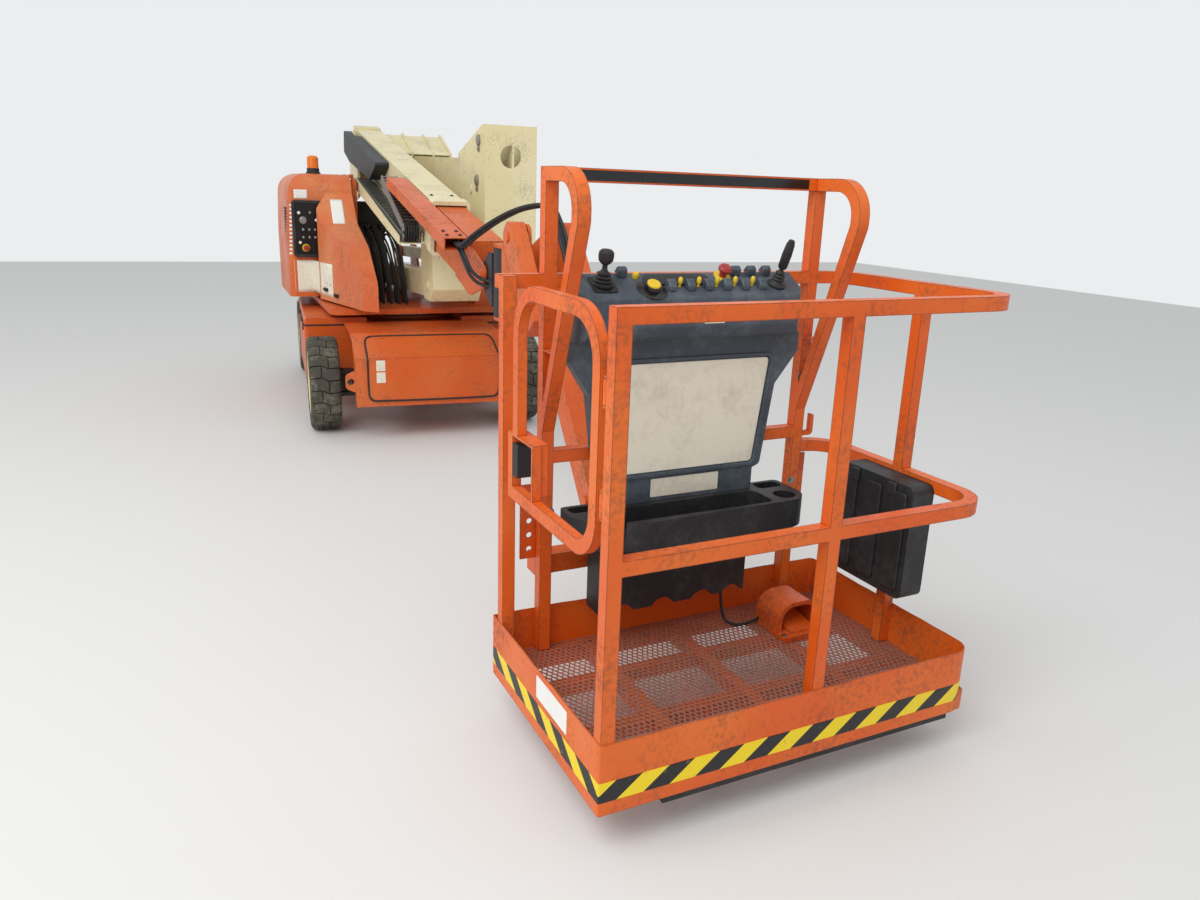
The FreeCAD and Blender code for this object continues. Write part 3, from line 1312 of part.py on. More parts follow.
def jib_base():
    """Fork that swings on the actuator and carries the jib's pins."""
    ear_low = -d.jib_ear_outer
    ear_high = d.jib_ear_outer
    web = d.swing_x + d.swing_radius + 10
    plates = []
    for low in (d.swing_top + d.running_gap, d.swing_low - d.running_gap - 16):
        plates.append(slab("swing_plate", low, 16, [
            (d.swing_x - 78, ear_low, 60),
            (web + 14, ear_low),
            (web + 14, ear_high),
            (d.swing_x - 78, ear_high, 60),
        ]))
    link_x = d.jib_pin_x + d.jib_link_dx
    link_z = d.jib_pin_z + d.jib_link_dz
    outline = [
        (web, d.swing_low - d.running_gap - 16),
        (web, d.swing_top + d.running_gap + 16),
        (d.jib_pin_x - 50, d.jib_pin_z + 56, 40),
        (d.jib_pin_x + 48, d.jib_pin_z + 56, 40),
        (link_x + 44, link_z - 20, 30),
        (link_x - 20, link_z - 44, 30),
        (web + 110, d.swing_low - d.running_gap - 16),
    ]
    for low in (ear_low, ear_high - d.jib_ear_thick):
        plates.append(cheek("jib_ear", low, d.jib_ear_thick, outline))
    plates.append(wall("swing_web", web, 14, rectangle(ear_low, d.swing_low - 16, ear_high,
                                                       d.swing_top + 16)))
    for low, high in ((-d.jib_leg_outer - 8, -d.jib_ear_outer + d.jib_ear_thick),
                      (d.jib_ear_outer - d.jib_ear_thick, d.jib_leg_outer + 8)):
        plates.append(pin("jib_pin", d.jib_pin_x, d.jib_pin_z, d.jib_pin_radius, low, high))
    plates.append(pin("link_pin", link_x, link_z, d.jib_pin_radius, d.jib_link_right - 3, ear_high + 4))
    plates.append(pin("foot_pin", d.jib_cylinder_foot_x, d.jib_cylinder_foot_z, d.foot_pin_radius,
                      ear_low - 4, ear_high + 4))
    on_jib_plane("jib_base", union("swing_fork", *plates))


def jib_arm():
    """Forked at the top for the hoses, a channel open at the back below the fork."""
    half = d.jib_half
    leg_width = d.jib_leg_outer - d.jib_leg_inner
    leg = [
        (-half, -half, half * 0.8),
        (d.fork_length + 60, -half),
        (d.fork_length + 60, half),
        (-half, half, half * 0.8),
    ]
    side = [
        (d.fork_length - 40, -half),
        (d.jib_eye_along - 90, -half),
        (d.jib_eye_along - 50, -d.jib_eye_under - 36, 20),
        (d.jib_eye_along + 50, -d.jib_eye_under - 36, 20),
        (d.jib_eye_along + 90, -half),
        (jib_length + half, -half, half * 0.8),
        (jib_length + half, half, half * 0.8),
        (d.fork_length - 40, half),
    ]
    parts = []
    for low in (d.jib_leg_inner, -d.jib_leg_outer):
        parts.append(cheek("fork_leg", low, leg_width, leg))
    side_thick = d.jib_body_outer - d.jib_leg_inner
    for low in (d.jib_leg_inner, -d.jib_body_outer):
        parts.append(cheek("jib_side", low, side_thick, side))
    face = box("jib_face", (d.fork_length - 40, -d.jib_body_outer, half - 10),
               (jib_length - half, d.jib_body_outer, half))
    parts.append(face)
    body = remove("jib", union("jib_solid", *parts),
                  *[pin("jib_bore", x, 0, d.jib_pin_radius + d.pin_gap, -200, 200)
                    for x in (0, jib_length)])
    along("jib_arm", body, (d.jib_pin_x, d.jib_pin_z), (d.jib_foot_x, d.jib_foot_z), d.boom_y)


def jib_link():
    body = arm("link", jib_length, d.jib_link_half, d.jib_link_half, d.jib_link_width, Size(6, "6"),
               d.jib_pin_radius)
    start = (d.jib_pin_x + d.jib_link_dx, d.jib_pin_z + d.jib_link_dz)
    end = (d.jib_foot_x + d.jib_link_dx, d.jib_foot_z + d.jib_link_dz)
    along("jib_link", body, start, end, d.boom_y + d.jib_link_right + d.jib_link_width / 2)


def platform_support():
    """Stays level at the jib's foot and holds the platform's turn actuator."""
    back = d.turn_x - d.turn_radius
    link_x = d.jib_foot_x + d.jib_link_dx
    link_z = d.jib_foot_z + d.jib_link_dz
    outline = [
        (d.jib_foot_x - 46, d.jib_foot_z - 20, 34),
        (d.jib_foot_x - 46, d.jib_foot_z + 46, 34),
        (back + 12, d.turn_top - 24),
        (back + 12, d.turn_low + 24),
        (link_x - 30, link_z - 40, 30),
    ]
    parts = []
    for low in (-d.jib_ear_outer, d.jib_ear_outer - d.jib_ear_thick):
        parts.append(cheek("support_ear", low, d.jib_ear_thick, outline))
    parts.append(wall("support_back", back - 12, 14, rectangle(-d.jib_ear_outer, d.turn_low + 24,
                                                               d.jib_ear_outer, d.turn_top - 24)))
    parts.append(pin("foot_pin", d.jib_foot_x, d.jib_foot_z, d.jib_pin_radius, -d.jib_body_outer - 10,
                     d.jib_body_outer + 10))
    parts.append(pin("link_pin", link_x, link_z, d.jib_pin_radius, d.jib_link_right - 3,
                     d.jib_ear_outer + 4))
    seat = rod("turn_seat", (d.turn_x, 0, d.turn_low), d.turn_top - d.turn_low, d.turn_radius, "Z")
    on_jib_plane("platform_support", remove("support", union("support_solid", *parts), seat))
    core = rod("turn_core", (d.turn_x, 0, d.turn_low), d.turn_top - d.turn_low, d.turn_radius - 0.2, "Z")
    on_jib_plane("turn_actuator", group("turn", core))


# Platform, made from its turn axis and its own underside

far_edge = d.platform_reach
near_edge = d.platform_reach + d.platform_depth
half_platform = d.platform_width / 2
rail_far = far_edge + d.toe_thick
rail_near = near_edge - d.toe_thick
rail_left = half_platform - d.toe_thick
floor_top = d.floor_frame + d.floor_plate


def platform_bracket():
    """Joins the actuator's two ends to the platform's far side."""
    low = d.turn_low - d.platform_low
    high = d.turn_top - d.platform_low
    web = d.jib_ear_outer + 14
    parts = []
    for z in (high + d.running_gap, low - d.running_gap - 14):
        parts.append(slab("turn_plate", z, 14, [
            (-58, -60, 50),
            (far_edge, -60),
            (far_edge, 60),
            (-58, 60, 50),
        ]))
    parts.append(wall("turn_web", web, 12, rectangle(-60, low - 14, 60, high + 14)))
    post_out = d.tall_post_y + d.rail_side
    parts.append(box("mount_beam", (far_edge - 60, d.platform_shift - post_out, high - 46),
                     (rail_far - d.pin_gap, d.platform_shift + post_out, high + d.running_gap + 14)))
    on_turn_axis("platform_bracket", union("bracket", *parts))


def platform_floor():
    edge = rectangle(far_edge, -half_platform, near_edge, half_platform)
    tube = d.floor_tube
    inside = rectangle(far_edge + tube, -half_platform + tube, near_edge - tube, half_platform - tube)
    frame = slab("floor_ring", Size(0, "0"), d.floor_frame, edge, inner=[inside])
    cover = slab("floor_cover", d.floor_frame, d.floor_plate, edge)
    parts = [frame, cover]
    half_bar = d.floor_tube / 2
    bar_low = d.floor_frame / 3
    for share in (-0.25, 0, 0.25):
        y = d.platform_width * share
        parts.append(box("cross_bar", (far_edge + tube - 1, y - half_bar, bar_low),
                         (near_edge - tube + 1, y + half_bar, d.floor_frame)))
    toe_inside = rectangle(far_edge + d.toe_thick, -half_platform + d.toe_thick,
                           near_edge - d.toe_thick, half_platform - d.toe_thick)
    parts.append(slab("toe_board", floor_top - 1, d.toe_top - floor_top + 1, edge, inner=[toe_inside]))
    on_platform("platform_floor", union("floor", *parts))
    bumper = box("bumper", (near_edge - 90, -half_platform + 190, -d.bumper_height),
                 (near_edge - 14, half_platform - 60, 0))
    on_platform("platform_bumper", group("bumper_pad", bumper))


def rail(label, top):
    """A tube round the near side, left end and far side, open at the gate."""
    side = d.rail_side
    inner_corner = d.rail_corner - side
    return slab(label, top - side, side, [
        (rail_near, -rail_left),
        (rail_near, rail_left, d.rail_corner),
        (rail_far, rail_left, d.rail_corner),
        (rail_far, -rail_left),
        (rail_far + side, -rail_left),
        (rail_far + side, rail_left - side, inner_corner),
        (rail_near - side, rail_left - side, inner_corner),
        (rail_near - side, -rail_left),
    ])


def middle_rail():
    """The lower rail, which ends at the tall post beyond the left end."""
    ring = rail("middle_ring", d.mid_rail)
    gap = box("console_gap", (rail_far - 5, -rail_left - 5, d.mid_rail - d.rail_side - 5),
              (rail_far + d.rail_side + 5, d.tall_post_y + 1, d.mid_rail + 5))
    return remove("middle_rail", ring, gap)


def post(label, x, y, top):
    """A square post that stands on the floor, from its corner nearest the origin."""
    return box(label, (x, y, floor_top), (x + d.rail_side, y + d.rail_side, top))


def hoop_strut(y):
    """Bent tube from the top of a tall post, forward and back down to its middle."""
    side = d.rail_side
    reach = rail_far + d.hoop_reach
    front = rail_far + side
    slant_in = side * 1.15
    inner_corner = d.hoop_corner - side
    return cheek("hoop_strut", y, side, [
        (rail_far, d.hoop_top - side),
        (rail_far, d.hoop_top),
        (reach, d.hoop_top, d.hoop_corner),
        (reach, d.hoop_bend, d.hoop_corner * 0.6),
        (front - 4, d.hoop_foot - slant_in),
        (front - 4, d.hoop_foot + slant_in),
        (reach - side, d.hoop_bend + side / 6, d.hoop_corner * 0.4),
        (reach - side, d.hoop_top - side, inner_corner),
    ])


def slotted_plate(y_low, y_high):
    """Plate on a tall post's back with a column of holes."""
    low = 365
    high = 600
    middle = (y_low + y_high) / 2
    holes = [(middle, low + 30 + 45 * step, 9) for step in range(4)]
    return wall("slotted_plate", rail_far - 5, 6, rectangle(y_low, low, y_high, high), circles=holes)


gate_hinge_x = near_edge - d.gate_hinge_inset
gate_plane = -rail_left + d.gate_thick / 2
gate_hinges = (d.gate_low + 130, d.gate_high - 210)
hinge_height = 60
hinge_ear = 6


def platform_rails():
    side = d.rail_side
    rails_top = d.top_rail - 1
    parts = [rail("top_rail", d.top_rail), middle_rail()]
    parts.append(post("gate_post", rail_near - side, -rail_left, rails_top))
    parts.append(post("near_post", rail_near - side, d.mid_post_y - side / 2, rails_top))
    parts.append(post("end_post", near_edge - d.end_post_back - side, rail_left - side, rails_top))
    parts.append(post("latch_post", rail_far + d.latch_post_inset, -rail_left, rails_top))
    for y in (d.tall_post_y, -d.tall_post_y - side):
        parts.append(post("tall_post", rail_far, y, d.hoop_top))
        parts.append(hoop_strut(y))
        gusset = [
            (rail_far + side - 1, d.hoop_foot + 205),
            (rail_far + side + 62, d.hoop_foot + 205),
            (rail_far + side + 62, d.hoop_foot + 211),
            (rail_far + side - 1, d.hoop_foot + 211),
        ]
        parts.append(cheek("strut_gusset", y, side, gusset))
    outer = d.tall_post_y + side
    parts.append(slotted_plate(outer - 8, outer + 50))
    parts.append(slotted_plate(-outer - 50, -outer + 8))
    parts.append(box("far_bar", (rail_far, -d.tall_post_y - 1, d.far_bar - side),
                     (rail_far + side, d.tall_post_y + 1, d.far_bar)))
    parts.append(box("hoop_bar", (rail_far, -d.tall_post_y - 1, d.hoop_top - side),
                     (rail_far + side, d.tall_post_y + 1, d.hoop_top)))
    hook = [
        (outer - 1, d.mid_rail + 15),
        (outer + 52, d.mid_rail + 15, 14),
        (outer + 52, d.mid_rail + 88, 10),
        (outer + 36, d.mid_rail + 88),
        (outer + 36, d.mid_rail + 31),
        (outer - 1, d.mid_rail + 31),
    ]
    parts.append(wall("lanyard_hook", rail_far + 12, 14, hook))
    for z in gate_hinges:
        for low in (z - hinge_ear - d.running_gap, z + hinge_height + d.running_gap):
            parts.append(rod("hinge_eye", (gate_hinge_x, gate_plane, low), hinge_ear, 9, "Z"))
            parts.append(box("hinge_ear", (gate_hinge_x, gate_plane - 9, low),
                             (rail_near - side + 1, gate_plane + 9, low + hinge_ear)))
        parts.append(rod("hinge_pin", (gate_hinge_x, gate_plane, z - hinge_ear),
                         hinge_height + hinge_ear * 2, 5, "Z"))
    on_platform("platform_rails", union("rails", *parts))


def gate():
    """A loop of flat tube hinged at the near corner post, with a frame round its latch."""
    near = gate_hinge_x - 13
    far = gate_hinge_x - d.gate_length
    tube = d.gate_tube
    half = d.gate_thick / 2
    inner_corner = d.gate_corner - tube
    latch_far = far - 34
    latch_near = latch_far + d.latch_length
    loop = cheek("gate_loop", gate_plane - half, d.gate_thick, [
        (latch_far, d.gate_low),
        (near, d.gate_low, d.gate_corner - 20),
        (near, d.gate_high, d.gate_corner),
        (far, d.gate_high, d.gate_corner),
        (far, d.latch_high - 4),
        (latch_far, d.latch_high - 4),
    ], inner=[[
        (latch_near + 4, d.gate_low + tube),
        (near - tube, d.gate_low + tube, inner_corner - 20),
        (near - tube, d.gate_high - tube, inner_corner),
        (far + tube, d.gate_high - tube, inner_corner),
        (far + tube, d.latch_high),
        (latch_near + 4, d.latch_high),
    ], rectangle(latch_far + 34, d.gate_low + tube, latch_near - 4, d.latch_high - 8)])
    frame_top = box("latch_frame_top", (latch_far, gate_plane - half, d.latch_high - 6),
                    (latch_near, gate_plane + half + 21, d.latch_high))
    frame_end = box("latch_frame_end", (latch_near - 6, gate_plane - half, d.mid_rail + d.clear_gap),
                    (latch_near, gate_plane + half + 21, d.latch_high - 1))
    latch = box("latch_body", (latch_far + 26, gate_plane - half + 2, d.latch_high - 118),
                (latch_far + 66, gate_plane + half + 16, d.latch_high - 30))
    parts = [loop, frame_top, frame_end, latch]
    for z in gate_hinges:
        parts.append(rod("gate_hinge", (gate_hinge_x, gate_plane, z), hinge_height, 10, "Z"))
        parts.append(box("gate_leaf", (near - 3, gate_plane - 5, z + 5),
                         (gate_hinge_x, gate_plane + 5, z + hinge_height - 5)))
    bore = rod("gate_bore", (gate_hinge_x, gate_plane, 0), d.gate_high + 100, 5 + d.pin_gap, "Z")
    on_platform("platform_gate", remove("gate_hung", union("gate", *parts), bore))


console_back = rail_far + d.rail_side + d.pin_gap


def control_console():
    """Sloping desk for the controls over the board that carries the placards."""
    back = console_back
    front = back + d.desk_depth
    profile = cheek("desk_profile", d.desk_left, d.desk_right - d.desk_left, [
        (back, d.desk_low),
        (front - 15, d.desk_low, 20),
        (front, d.desk_low + 40, 20),
        (front - 3, d.desk_front, 12),
        (back + 10, d.desk_back, 12),
        (back, d.desk_back - 8),
    ])
    plan = slab("desk_plan", d.desk_low - 10, d.desk_back - d.desk_low + 20, [
        (back, d.desk_left),
        (front, d.desk_left, 46),
        (front, d.desk_right, 46),
        (back, d.desk_right),
    ])
    desk = overlap("desk", profile, plan)
    board = wall("placard_board", back, d.board_thick, [
        (-412, 975, 12),
        (-346, 873, 20),
        (-312, 610, 16),
        (-285, 600),
        (-285, d.tray_top),
        (245, d.tray_top),
        (245, 600),
        (272, 610, 16),
        (306, 873, 20),
        (385, 975, 12),
        (385, d.desk_low + 1),
        (-412, d.desk_low + 1),
    ])
    on_platform("control_console", union("console_body", desk, board))


def tool_tray():
    """Moulded tray below the board, bowed at the front, with a scalloped box under it."""
    back = console_back
    front = back + d.tray_reach
    height = d.tray_top - d.tray_low
    body = slab("tray_body", d.tray_low, height, [
        (back, -418, 20),
        (back + 120, -418, 80),
        (front, -230, 160),
        (front - 16, 378, 80),
        (back, 378, 20),
    ])
    room_low = d.tray_low + 22
    rooms = [
        slab("trough", room_low, height, rectangle(back + 70, -330, front - 26, 240, 24)),
        slab("right_pocket", room_low, height, rectangle(back + 14, 270, back + 66, 360, 14)),
        slab("left_pocket", room_low, height, rectangle(back + 14, -400, back + 62, -300, 14)),
        rod("cup_holder", (front - 72, 310, room_low), height, 36, "Z"),
    ]
    lower = box("lower_box", (back, -315, d.lower_box_low), (back + 90, 215, d.tray_low + 1))
    scallops = [rod("scallop", (back - 5, y, d.lower_box_low - 22), 100, 46, "X")
                for y in (-235, -90, 55, 170)]
    on_platform("tool_tray", union("tray_and_box", remove("tray_cut", body, *rooms),
                                   remove("box_cut", lower, *scallops)))


def document_case():
    """Flat case hung inside the left end, under the middle rail."""
    outer = rail_left - d.rail_side - d.pin_gap
    case = cheek("case", outer - d.case_thick, d.case_thick,
                 rectangle(534, d.case_low, 848, d.case_high, 24))
    on_platform("document_case", group("document_box", case))


def foot_pedal():
    """Pedal under a cast hood that is open towards the operator."""
    left, right = 275, 445
    back, front = 430, 600
    wall_thick = 14
    hood_top = floor_top + 112
    base = box("pedal_base", (back, left, floor_top), (front, right, floor_top + 16))
    hood = wall("pedal_hood", back, front - back - 45, [
        (left + 4, floor_top + 15),
        (right - 4, floor_top + 15),
        (right - 4, hood_top, 62),
        (left + 4, hood_top, 62),
    ])
    room = wall("pedal_room", back + wall_thick, front - back, [
        (left + 4 + wall_thick, floor_top + 16),
        (right - 4 - wall_thick, floor_top + 16),
        (right - 4 - wall_thick, hood_top - wall_thick, 48),
        (left + 4 + wall_thick, hood_top - wall_thick, 48),
    ])
    tread = cheek("pedal_tread", left + 36, right - left - 72, [
        (back + 30, floor_top + 15),
        (front - 20, floor_top + 15),
        (front - 20, floor_top + 22),
        (back + 30, floor_top + 46),
    ])
    on_platform("foot_pedal", union("pedal", base, remove("pedal_shell", hood, room), tread))


chassis_frame()
end_covers()
battery_boxes()
slew_ring()
axles()
knuckles()
tie_rod()
for where, axle, side in WHEELS:
    wheel(where, axle, side)
turntable()
counterweight()
power_pack()
hood()
ground_controls()
beacon()
riser_members()
middle_upright()
rear_upright()
cylinders()
main_boom()
wear_pads()
fly_boom()
cable_tube()
power_track()
boom_cover()
level_head()
jib_actuator()
jib_base()
jib_arm()
jib_link()
platform_support()
platform_bracket()
platform_floor()
platform_rails()
gate()
control_console()
tool_tray()
document_case()
foot_pedal()

doc.recompute()

# Every object computed, every node whole
for item in doc.Objects:
    if "Invalid" in item.State or "Error" in item.State:
        raise RuntimeError(f"{item.Label} did not compute: {item.State}")
for name, item in nodes.items():
    if item.Shape.isNull() or not item.Shape.isValid():
        raise RuntimeError(f"{name} has no valid shape")

os.makedirs("parts", exist_ok=True)
for name, item in nodes.items():
    item.Shape.exportStep(f"parts/{name}.step")
bounds = [item.Shape.BoundBox for item in nodes.values()]
for axis in "XYZ":
    low = min(getattr(bound, f"{axis}Min") for bound in bounds)
    high = max(getattr(bound, f"{axis}Max") for bound in bounds)
    print(f"{axis} {low:.1f} to {high:.1f}")
print(len(nodes), "nodes")
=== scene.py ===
# %% [markdown]
# # An articulating boom lift, parked with its booms stowed
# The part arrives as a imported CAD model, and this file dresses it: paint with worn edges,
# block treaded tyres, an expanded metal floor, the operator's console and the hydraulic hoses.
# Everything is in metres and in the CAD's own frame, so each piece is placed by the CAD's numbers.

# %% Load the frame
import math
import random

import bmesh
import bpy
from mathutils import Matrix, Vector, noise


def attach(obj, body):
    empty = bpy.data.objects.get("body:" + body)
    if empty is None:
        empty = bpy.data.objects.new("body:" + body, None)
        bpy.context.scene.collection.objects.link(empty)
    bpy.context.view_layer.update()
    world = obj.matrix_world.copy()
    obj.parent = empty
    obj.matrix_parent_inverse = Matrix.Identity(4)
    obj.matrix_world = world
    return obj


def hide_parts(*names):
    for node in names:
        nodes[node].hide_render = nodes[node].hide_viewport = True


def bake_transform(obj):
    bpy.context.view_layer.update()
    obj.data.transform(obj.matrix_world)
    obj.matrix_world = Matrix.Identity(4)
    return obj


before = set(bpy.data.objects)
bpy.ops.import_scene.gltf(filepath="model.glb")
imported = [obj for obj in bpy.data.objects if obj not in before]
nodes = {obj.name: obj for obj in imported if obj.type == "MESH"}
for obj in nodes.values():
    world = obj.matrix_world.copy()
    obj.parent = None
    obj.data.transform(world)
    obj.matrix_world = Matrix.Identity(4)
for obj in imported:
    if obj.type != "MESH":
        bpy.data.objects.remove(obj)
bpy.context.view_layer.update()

# %% [markdown]
# The camera comes first, so that every later render can be laid beside the photograph.
# The photograph was taken standing in front of the platform, looking slightly down, with a
# phone's main lens and a roll of two degrees. The camera's three axes are worked out one by one,
# because a roll is easier to read there than in Euler angles.

# %% Camera
EYE = Vector((5.049, -1.403, 1.566))
HEADING = Vector((-0.9135, 0.4067, 0))
LEVEL_RIGHT = Vector((0.4067, 0.9135, 0))
PITCH = math.radians(16.085)
ROLL = math.radians(2.003)

gaze = HEADING * math.cos(PITCH) - Vector((0, 0, 1)) * math.sin(PITCH)
level_up = LEVEL_RIGHT.cross(gaze)
right = LEVEL_RIGHT * math.cos(ROLL) + level_up * math.sin(ROLL)
up = level_up * math.cos(ROLL) - LEVEL_RIGHT * math.sin(ROLL)

camera_data = bpy.data.cameras.new("phone_camera")
camera_data.sensor_width = 36
camera_data.lens = 27.03
camera = bpy.data.objects.new("phone_camera", camera_data)
axes = Matrix((right, up, -gaze)).transposed().to_4x4()
camera.matrix_world = Matrix.Translation(EYE) @ axes
bpy.context.collection.objects.link(camera)
bpy.context.scene.camera = camera
print("camera at", tuple(EYE))

# %% [markdown]
# ## Tools for materials
# A colour on screen is stored as sRGB hex, but a shader adds light in linear values, so one
# function converts. Patterns are given by their real size in millimetres: object coordinates
# here are metres, so a texture's scale is a thousand over that size.

# %% Colours, sizes and nodes


def linear(hex_colour):
    """Linear RGBA from an sRGB hex colour."""
    channels = [int(hex_colour[i:i + 2], 16) / 255 for i in (1, 3, 5)]
    straight = [c / 12.92 if c <= 0.04045 else ((c + 0.055) / 1.055) ** 2.4 for c in channels]
    return (*straight, 1)


def per_mm(size):
    """Texture scale at which the pattern repeats every so many millimetres."""
    return 1000 / size


def add_node(tree, kind, settings=None, inputs=None):
    """Adds a node, sets its options and fills its sockets with values or links."""
    node = tree.nodes.new(kind)
    for name, value in (settings or {}).items():
        setattr(node, name, value)
    for name, value in (inputs or {}).items():
        if isinstance(value, bpy.types.NodeSocket):
            tree.links.new(value, node.inputs[name])
        else:
            node.inputs[name].default_value = value
    return node


def start_material(name, roughness, metallic=0.0, coat=0.0, ior=None):
    """A material with its shader, and the place on the object to hang patterns on."""
    made = bpy.data.materials.new(name)
    made.use_nodes = True
    tree = made.node_tree
    shader = tree.nodes["Principled BSDF"]
    shader.inputs["Roughness"].default_value = roughness
    shader.inputs["Metallic"].default_value = metallic
    shader.inputs["Coat Weight"].default_value = coat
    if ior is not None:
        shader.inputs["IOR"].default_value = ior
    where = add_node(tree, "ShaderNodeTexCoord").outputs["Object"]
    return made, tree, shader, where


# %% [markdown]
# ## Enamel on steel
# The machine is sprayed with two-pack enamel: orange on the platform, chassis and hoods, cream
# on the booms. Years outdoors fade it in soft patches, leave grime in streaks, and knock it off
# along the edges of tubes and plates. A bevel lookup finds those edges: where a rounded normal
# and the true normal differ, the surface is at an edge. Noise breaks that line into chips.

# %% Enamel


def enamel(name, colour, faded, bared, chips, grime, roughness=0.42):
    """Sprayed enamel. chips is how much of the edges is bare, grime how dirty the faces are."""
    made, tree, shader, where = start_material(name, roughness, coat=0.08, ior=1.45)
    # Fading in patches about 350 mm across
    fade = add_node(tree, "ShaderNodeTexNoise", inputs={"Vector": where, "Scale": per_mm(350), "Detail": 3})
    fade_share = add_node(tree, "ShaderNodeMapRange", inputs={
        "Value": fade.outputs["Fac"], "From Min": 0.38, "From Max": 0.68, "To Min": 0, "To Max": 0.75})
    paint = add_node(tree, "ShaderNodeMix", {"data_type": "RGBA"}, {
        "Factor": fade_share.outputs["Result"], "A": linear(colour), "B": linear(faded)})
    # Grime: fine speckle of 14 mm inside blotches of 180 mm
    speckle = add_node(tree, "ShaderNodeTexNoise", inputs={"Vector": where, "Scale": per_mm(14), "Detail": 6})
    blotch = add_node(tree, "ShaderNodeTexNoise", inputs={"Vector": where, "Scale": per_mm(180), "Detail": 4})
    dirt = add_node(tree, "ShaderNodeMath", {"operation": "MULTIPLY"}, {
        0: speckle.outputs["Fac"], 1: blotch.outputs["Fac"]})
    dirt_share = add_node(tree, "ShaderNodeMapRange", inputs={
        "Value": dirt.outputs["Value"], "From Min": 0.26, "From Max": 0.42, "To Min": 0, "To Max": grime})
    dirty = add_node(tree, "ShaderNodeMix", {"data_type": "RGBA"}, {
        "Factor": dirt_share.outputs["Result"], "A": paint.outputs[2], "B": linear("#4a3f38")})
    # Edges within 5 mm of an arris, broken by chips of about 20 mm
    soft = add_node(tree, "ShaderNodeBevel", {"samples": 4}, {"Radius": 0.005})
    true = add_node(tree, "ShaderNodeNewGeometry")
    facing = add_node(tree, "ShaderNodeVectorMath", {"operation": "DOT_PRODUCT"}, {
        0: soft.outputs["Normal"], 1: true.outputs["Normal"]})
    edge = add_node(tree, "ShaderNodeMapRange", inputs={
        "Value": facing.outputs["Value"], "From Min": 0.99, "From Max": 0.80, "To Min": 0, "To Max": 1})
    chip = add_node(tree, "ShaderNodeTexNoise", inputs={
        "Vector": where, "Scale": per_mm(20), "Detail": 8, "Roughness": 0.7})
    chip_share = add_node(tree, "ShaderNodeMapRange", inputs={
        "Value": chip.outputs["Fac"], "From Min": 0.62 - chips * 0.25, "From Max": 0.66 - chips * 0.25,
        "To Min": 0, "To Max": 1})
    bare = add_node(tree, "ShaderNodeMath", {"operation": "MULTIPLY"}, {
        0: edge.outputs["Result"], 1: chip_share.outputs["Result"]})
    surface = add_node(tree, "ShaderNodeMix", {"data_type": "RGBA"}, {
        "Factor": bare.outputs["Value"], "A": dirty.outputs[2], "B": linear(bared)})
    tree.links.new(surface.outputs[2], shader.inputs["Base Color"])
    rough = add_node(tree, "ShaderNodeMapRange", inputs={
        "Value": dirt.outputs["Value"], "From Min": 0.1, "From Max": 0.45,
        "To Min": roughness - 0.08, "To Max": roughness + 0.25})
    tree.links.new(rough.outputs["Result"], shader.inputs["Roughness"])
    # Orange peel of sprayed paint, 6 mm, and the step at a chip's rim
    peel = add_node(tree, "ShaderNodeTexNoise", inputs={"Vector": where, "Scale": per_mm(6), "Detail": 2})
    height = add_node(tree, "ShaderNodeMath", {"operation": "MULTIPLY_ADD"}, {
        0: bare.outputs["Value"], 1: -1.5, 2: peel.outputs["Fac"]})
    relief = add_node(tree, "ShaderNodeBump", inputs={
        "Height": height.outputs["Value"], "Strength": 0.12, "Distance": 0.001})
    tree.links.new(relief.outputs["Normal"], shader.inputs["Normal"])
    print("made", name)
    return made


orange_enamel = enamel("orange_enamel", "#d05614", "#d86f34", "#4b3a30", 0.5, 0.45)
hood_enamel = enamel("sun_faded_orange_enamel", "#d2622a", "#dd8a58", "#5b4436", 0.45, 0.3)
rail_enamel = enamel("scuffed_orange_enamel", "#dc5a0e", "#e57426", "#3f2c22", 1.0, 0.4, 0.42)
cream_enamel = enamel("cream_enamel", "#e2d6a6", "#ebe2bd", "#6a5a40", 0.35, 0.3)
black_enamel = enamel("black_enamel", "#26272a", "#34363a", "#5b5048", 0.4, 0.5, 0.5)

# %% [markdown]
# ## Plastics, rubber and bare steel
# The console is a slate grey moulded ABS housing with a fine grained skin. Tray, case and
# covers are black polyethylene, rotation moulded and scuffed grey. Tyres are solid rubber,
# grey with dust. Cylinder rods are hard chrome.

# %% Moulded plastics and rubber


def moulded(name, colour, scuffed, grain_mm, roughness, scuffs=0.4, depth=0.25):
    """Moulded plastic or rubber: a grained skin with pale scuffs and dust."""
    made, tree, shader, where = start_material(name, roughness, ior=1.49)
    cloud = add_node(tree, "ShaderNodeTexNoise", inputs={"Vector": where, "Scale": per_mm(120), "Detail": 5})
    scratch = add_node(tree, "ShaderNodeTexNoise", inputs={
        "Vector": where, "Scale": per_mm(25), "Detail": 9, "Roughness": 0.75})
    both = add_node(tree, "ShaderNodeMath", {"operation": "MULTIPLY"}, {
        0: cloud.outputs["Fac"], 1: scratch.outputs["Fac"]})
    share = add_node(tree, "ShaderNodeMapRange", inputs={
        "Value": both.outputs["Value"], "From Min": 0.22, "From Max": 0.42, "To Min": 0, "To Max": scuffs})
    tone = add_node(tree, "ShaderNodeMix", {"data_type": "RGBA"}, {
        "Factor": share.outputs["Result"], "A": linear(colour), "B": linear(scuffed)})
    tree.links.new(tone.outputs[2], shader.inputs["Base Color"])
    grain = add_node(tree, "ShaderNodeTexVoronoi", inputs={"Vector": where, "Scale": per_mm(grain_mm)})
    relief = add_node(tree, "ShaderNodeBump", inputs={
        "Height": grain.outputs["Distance"], "Strength": depth, "Distance": 0.0006})
    tree.links.new(relief.outputs["Normal"], shader.inputs["Normal"])
    print("made", name)
    return made


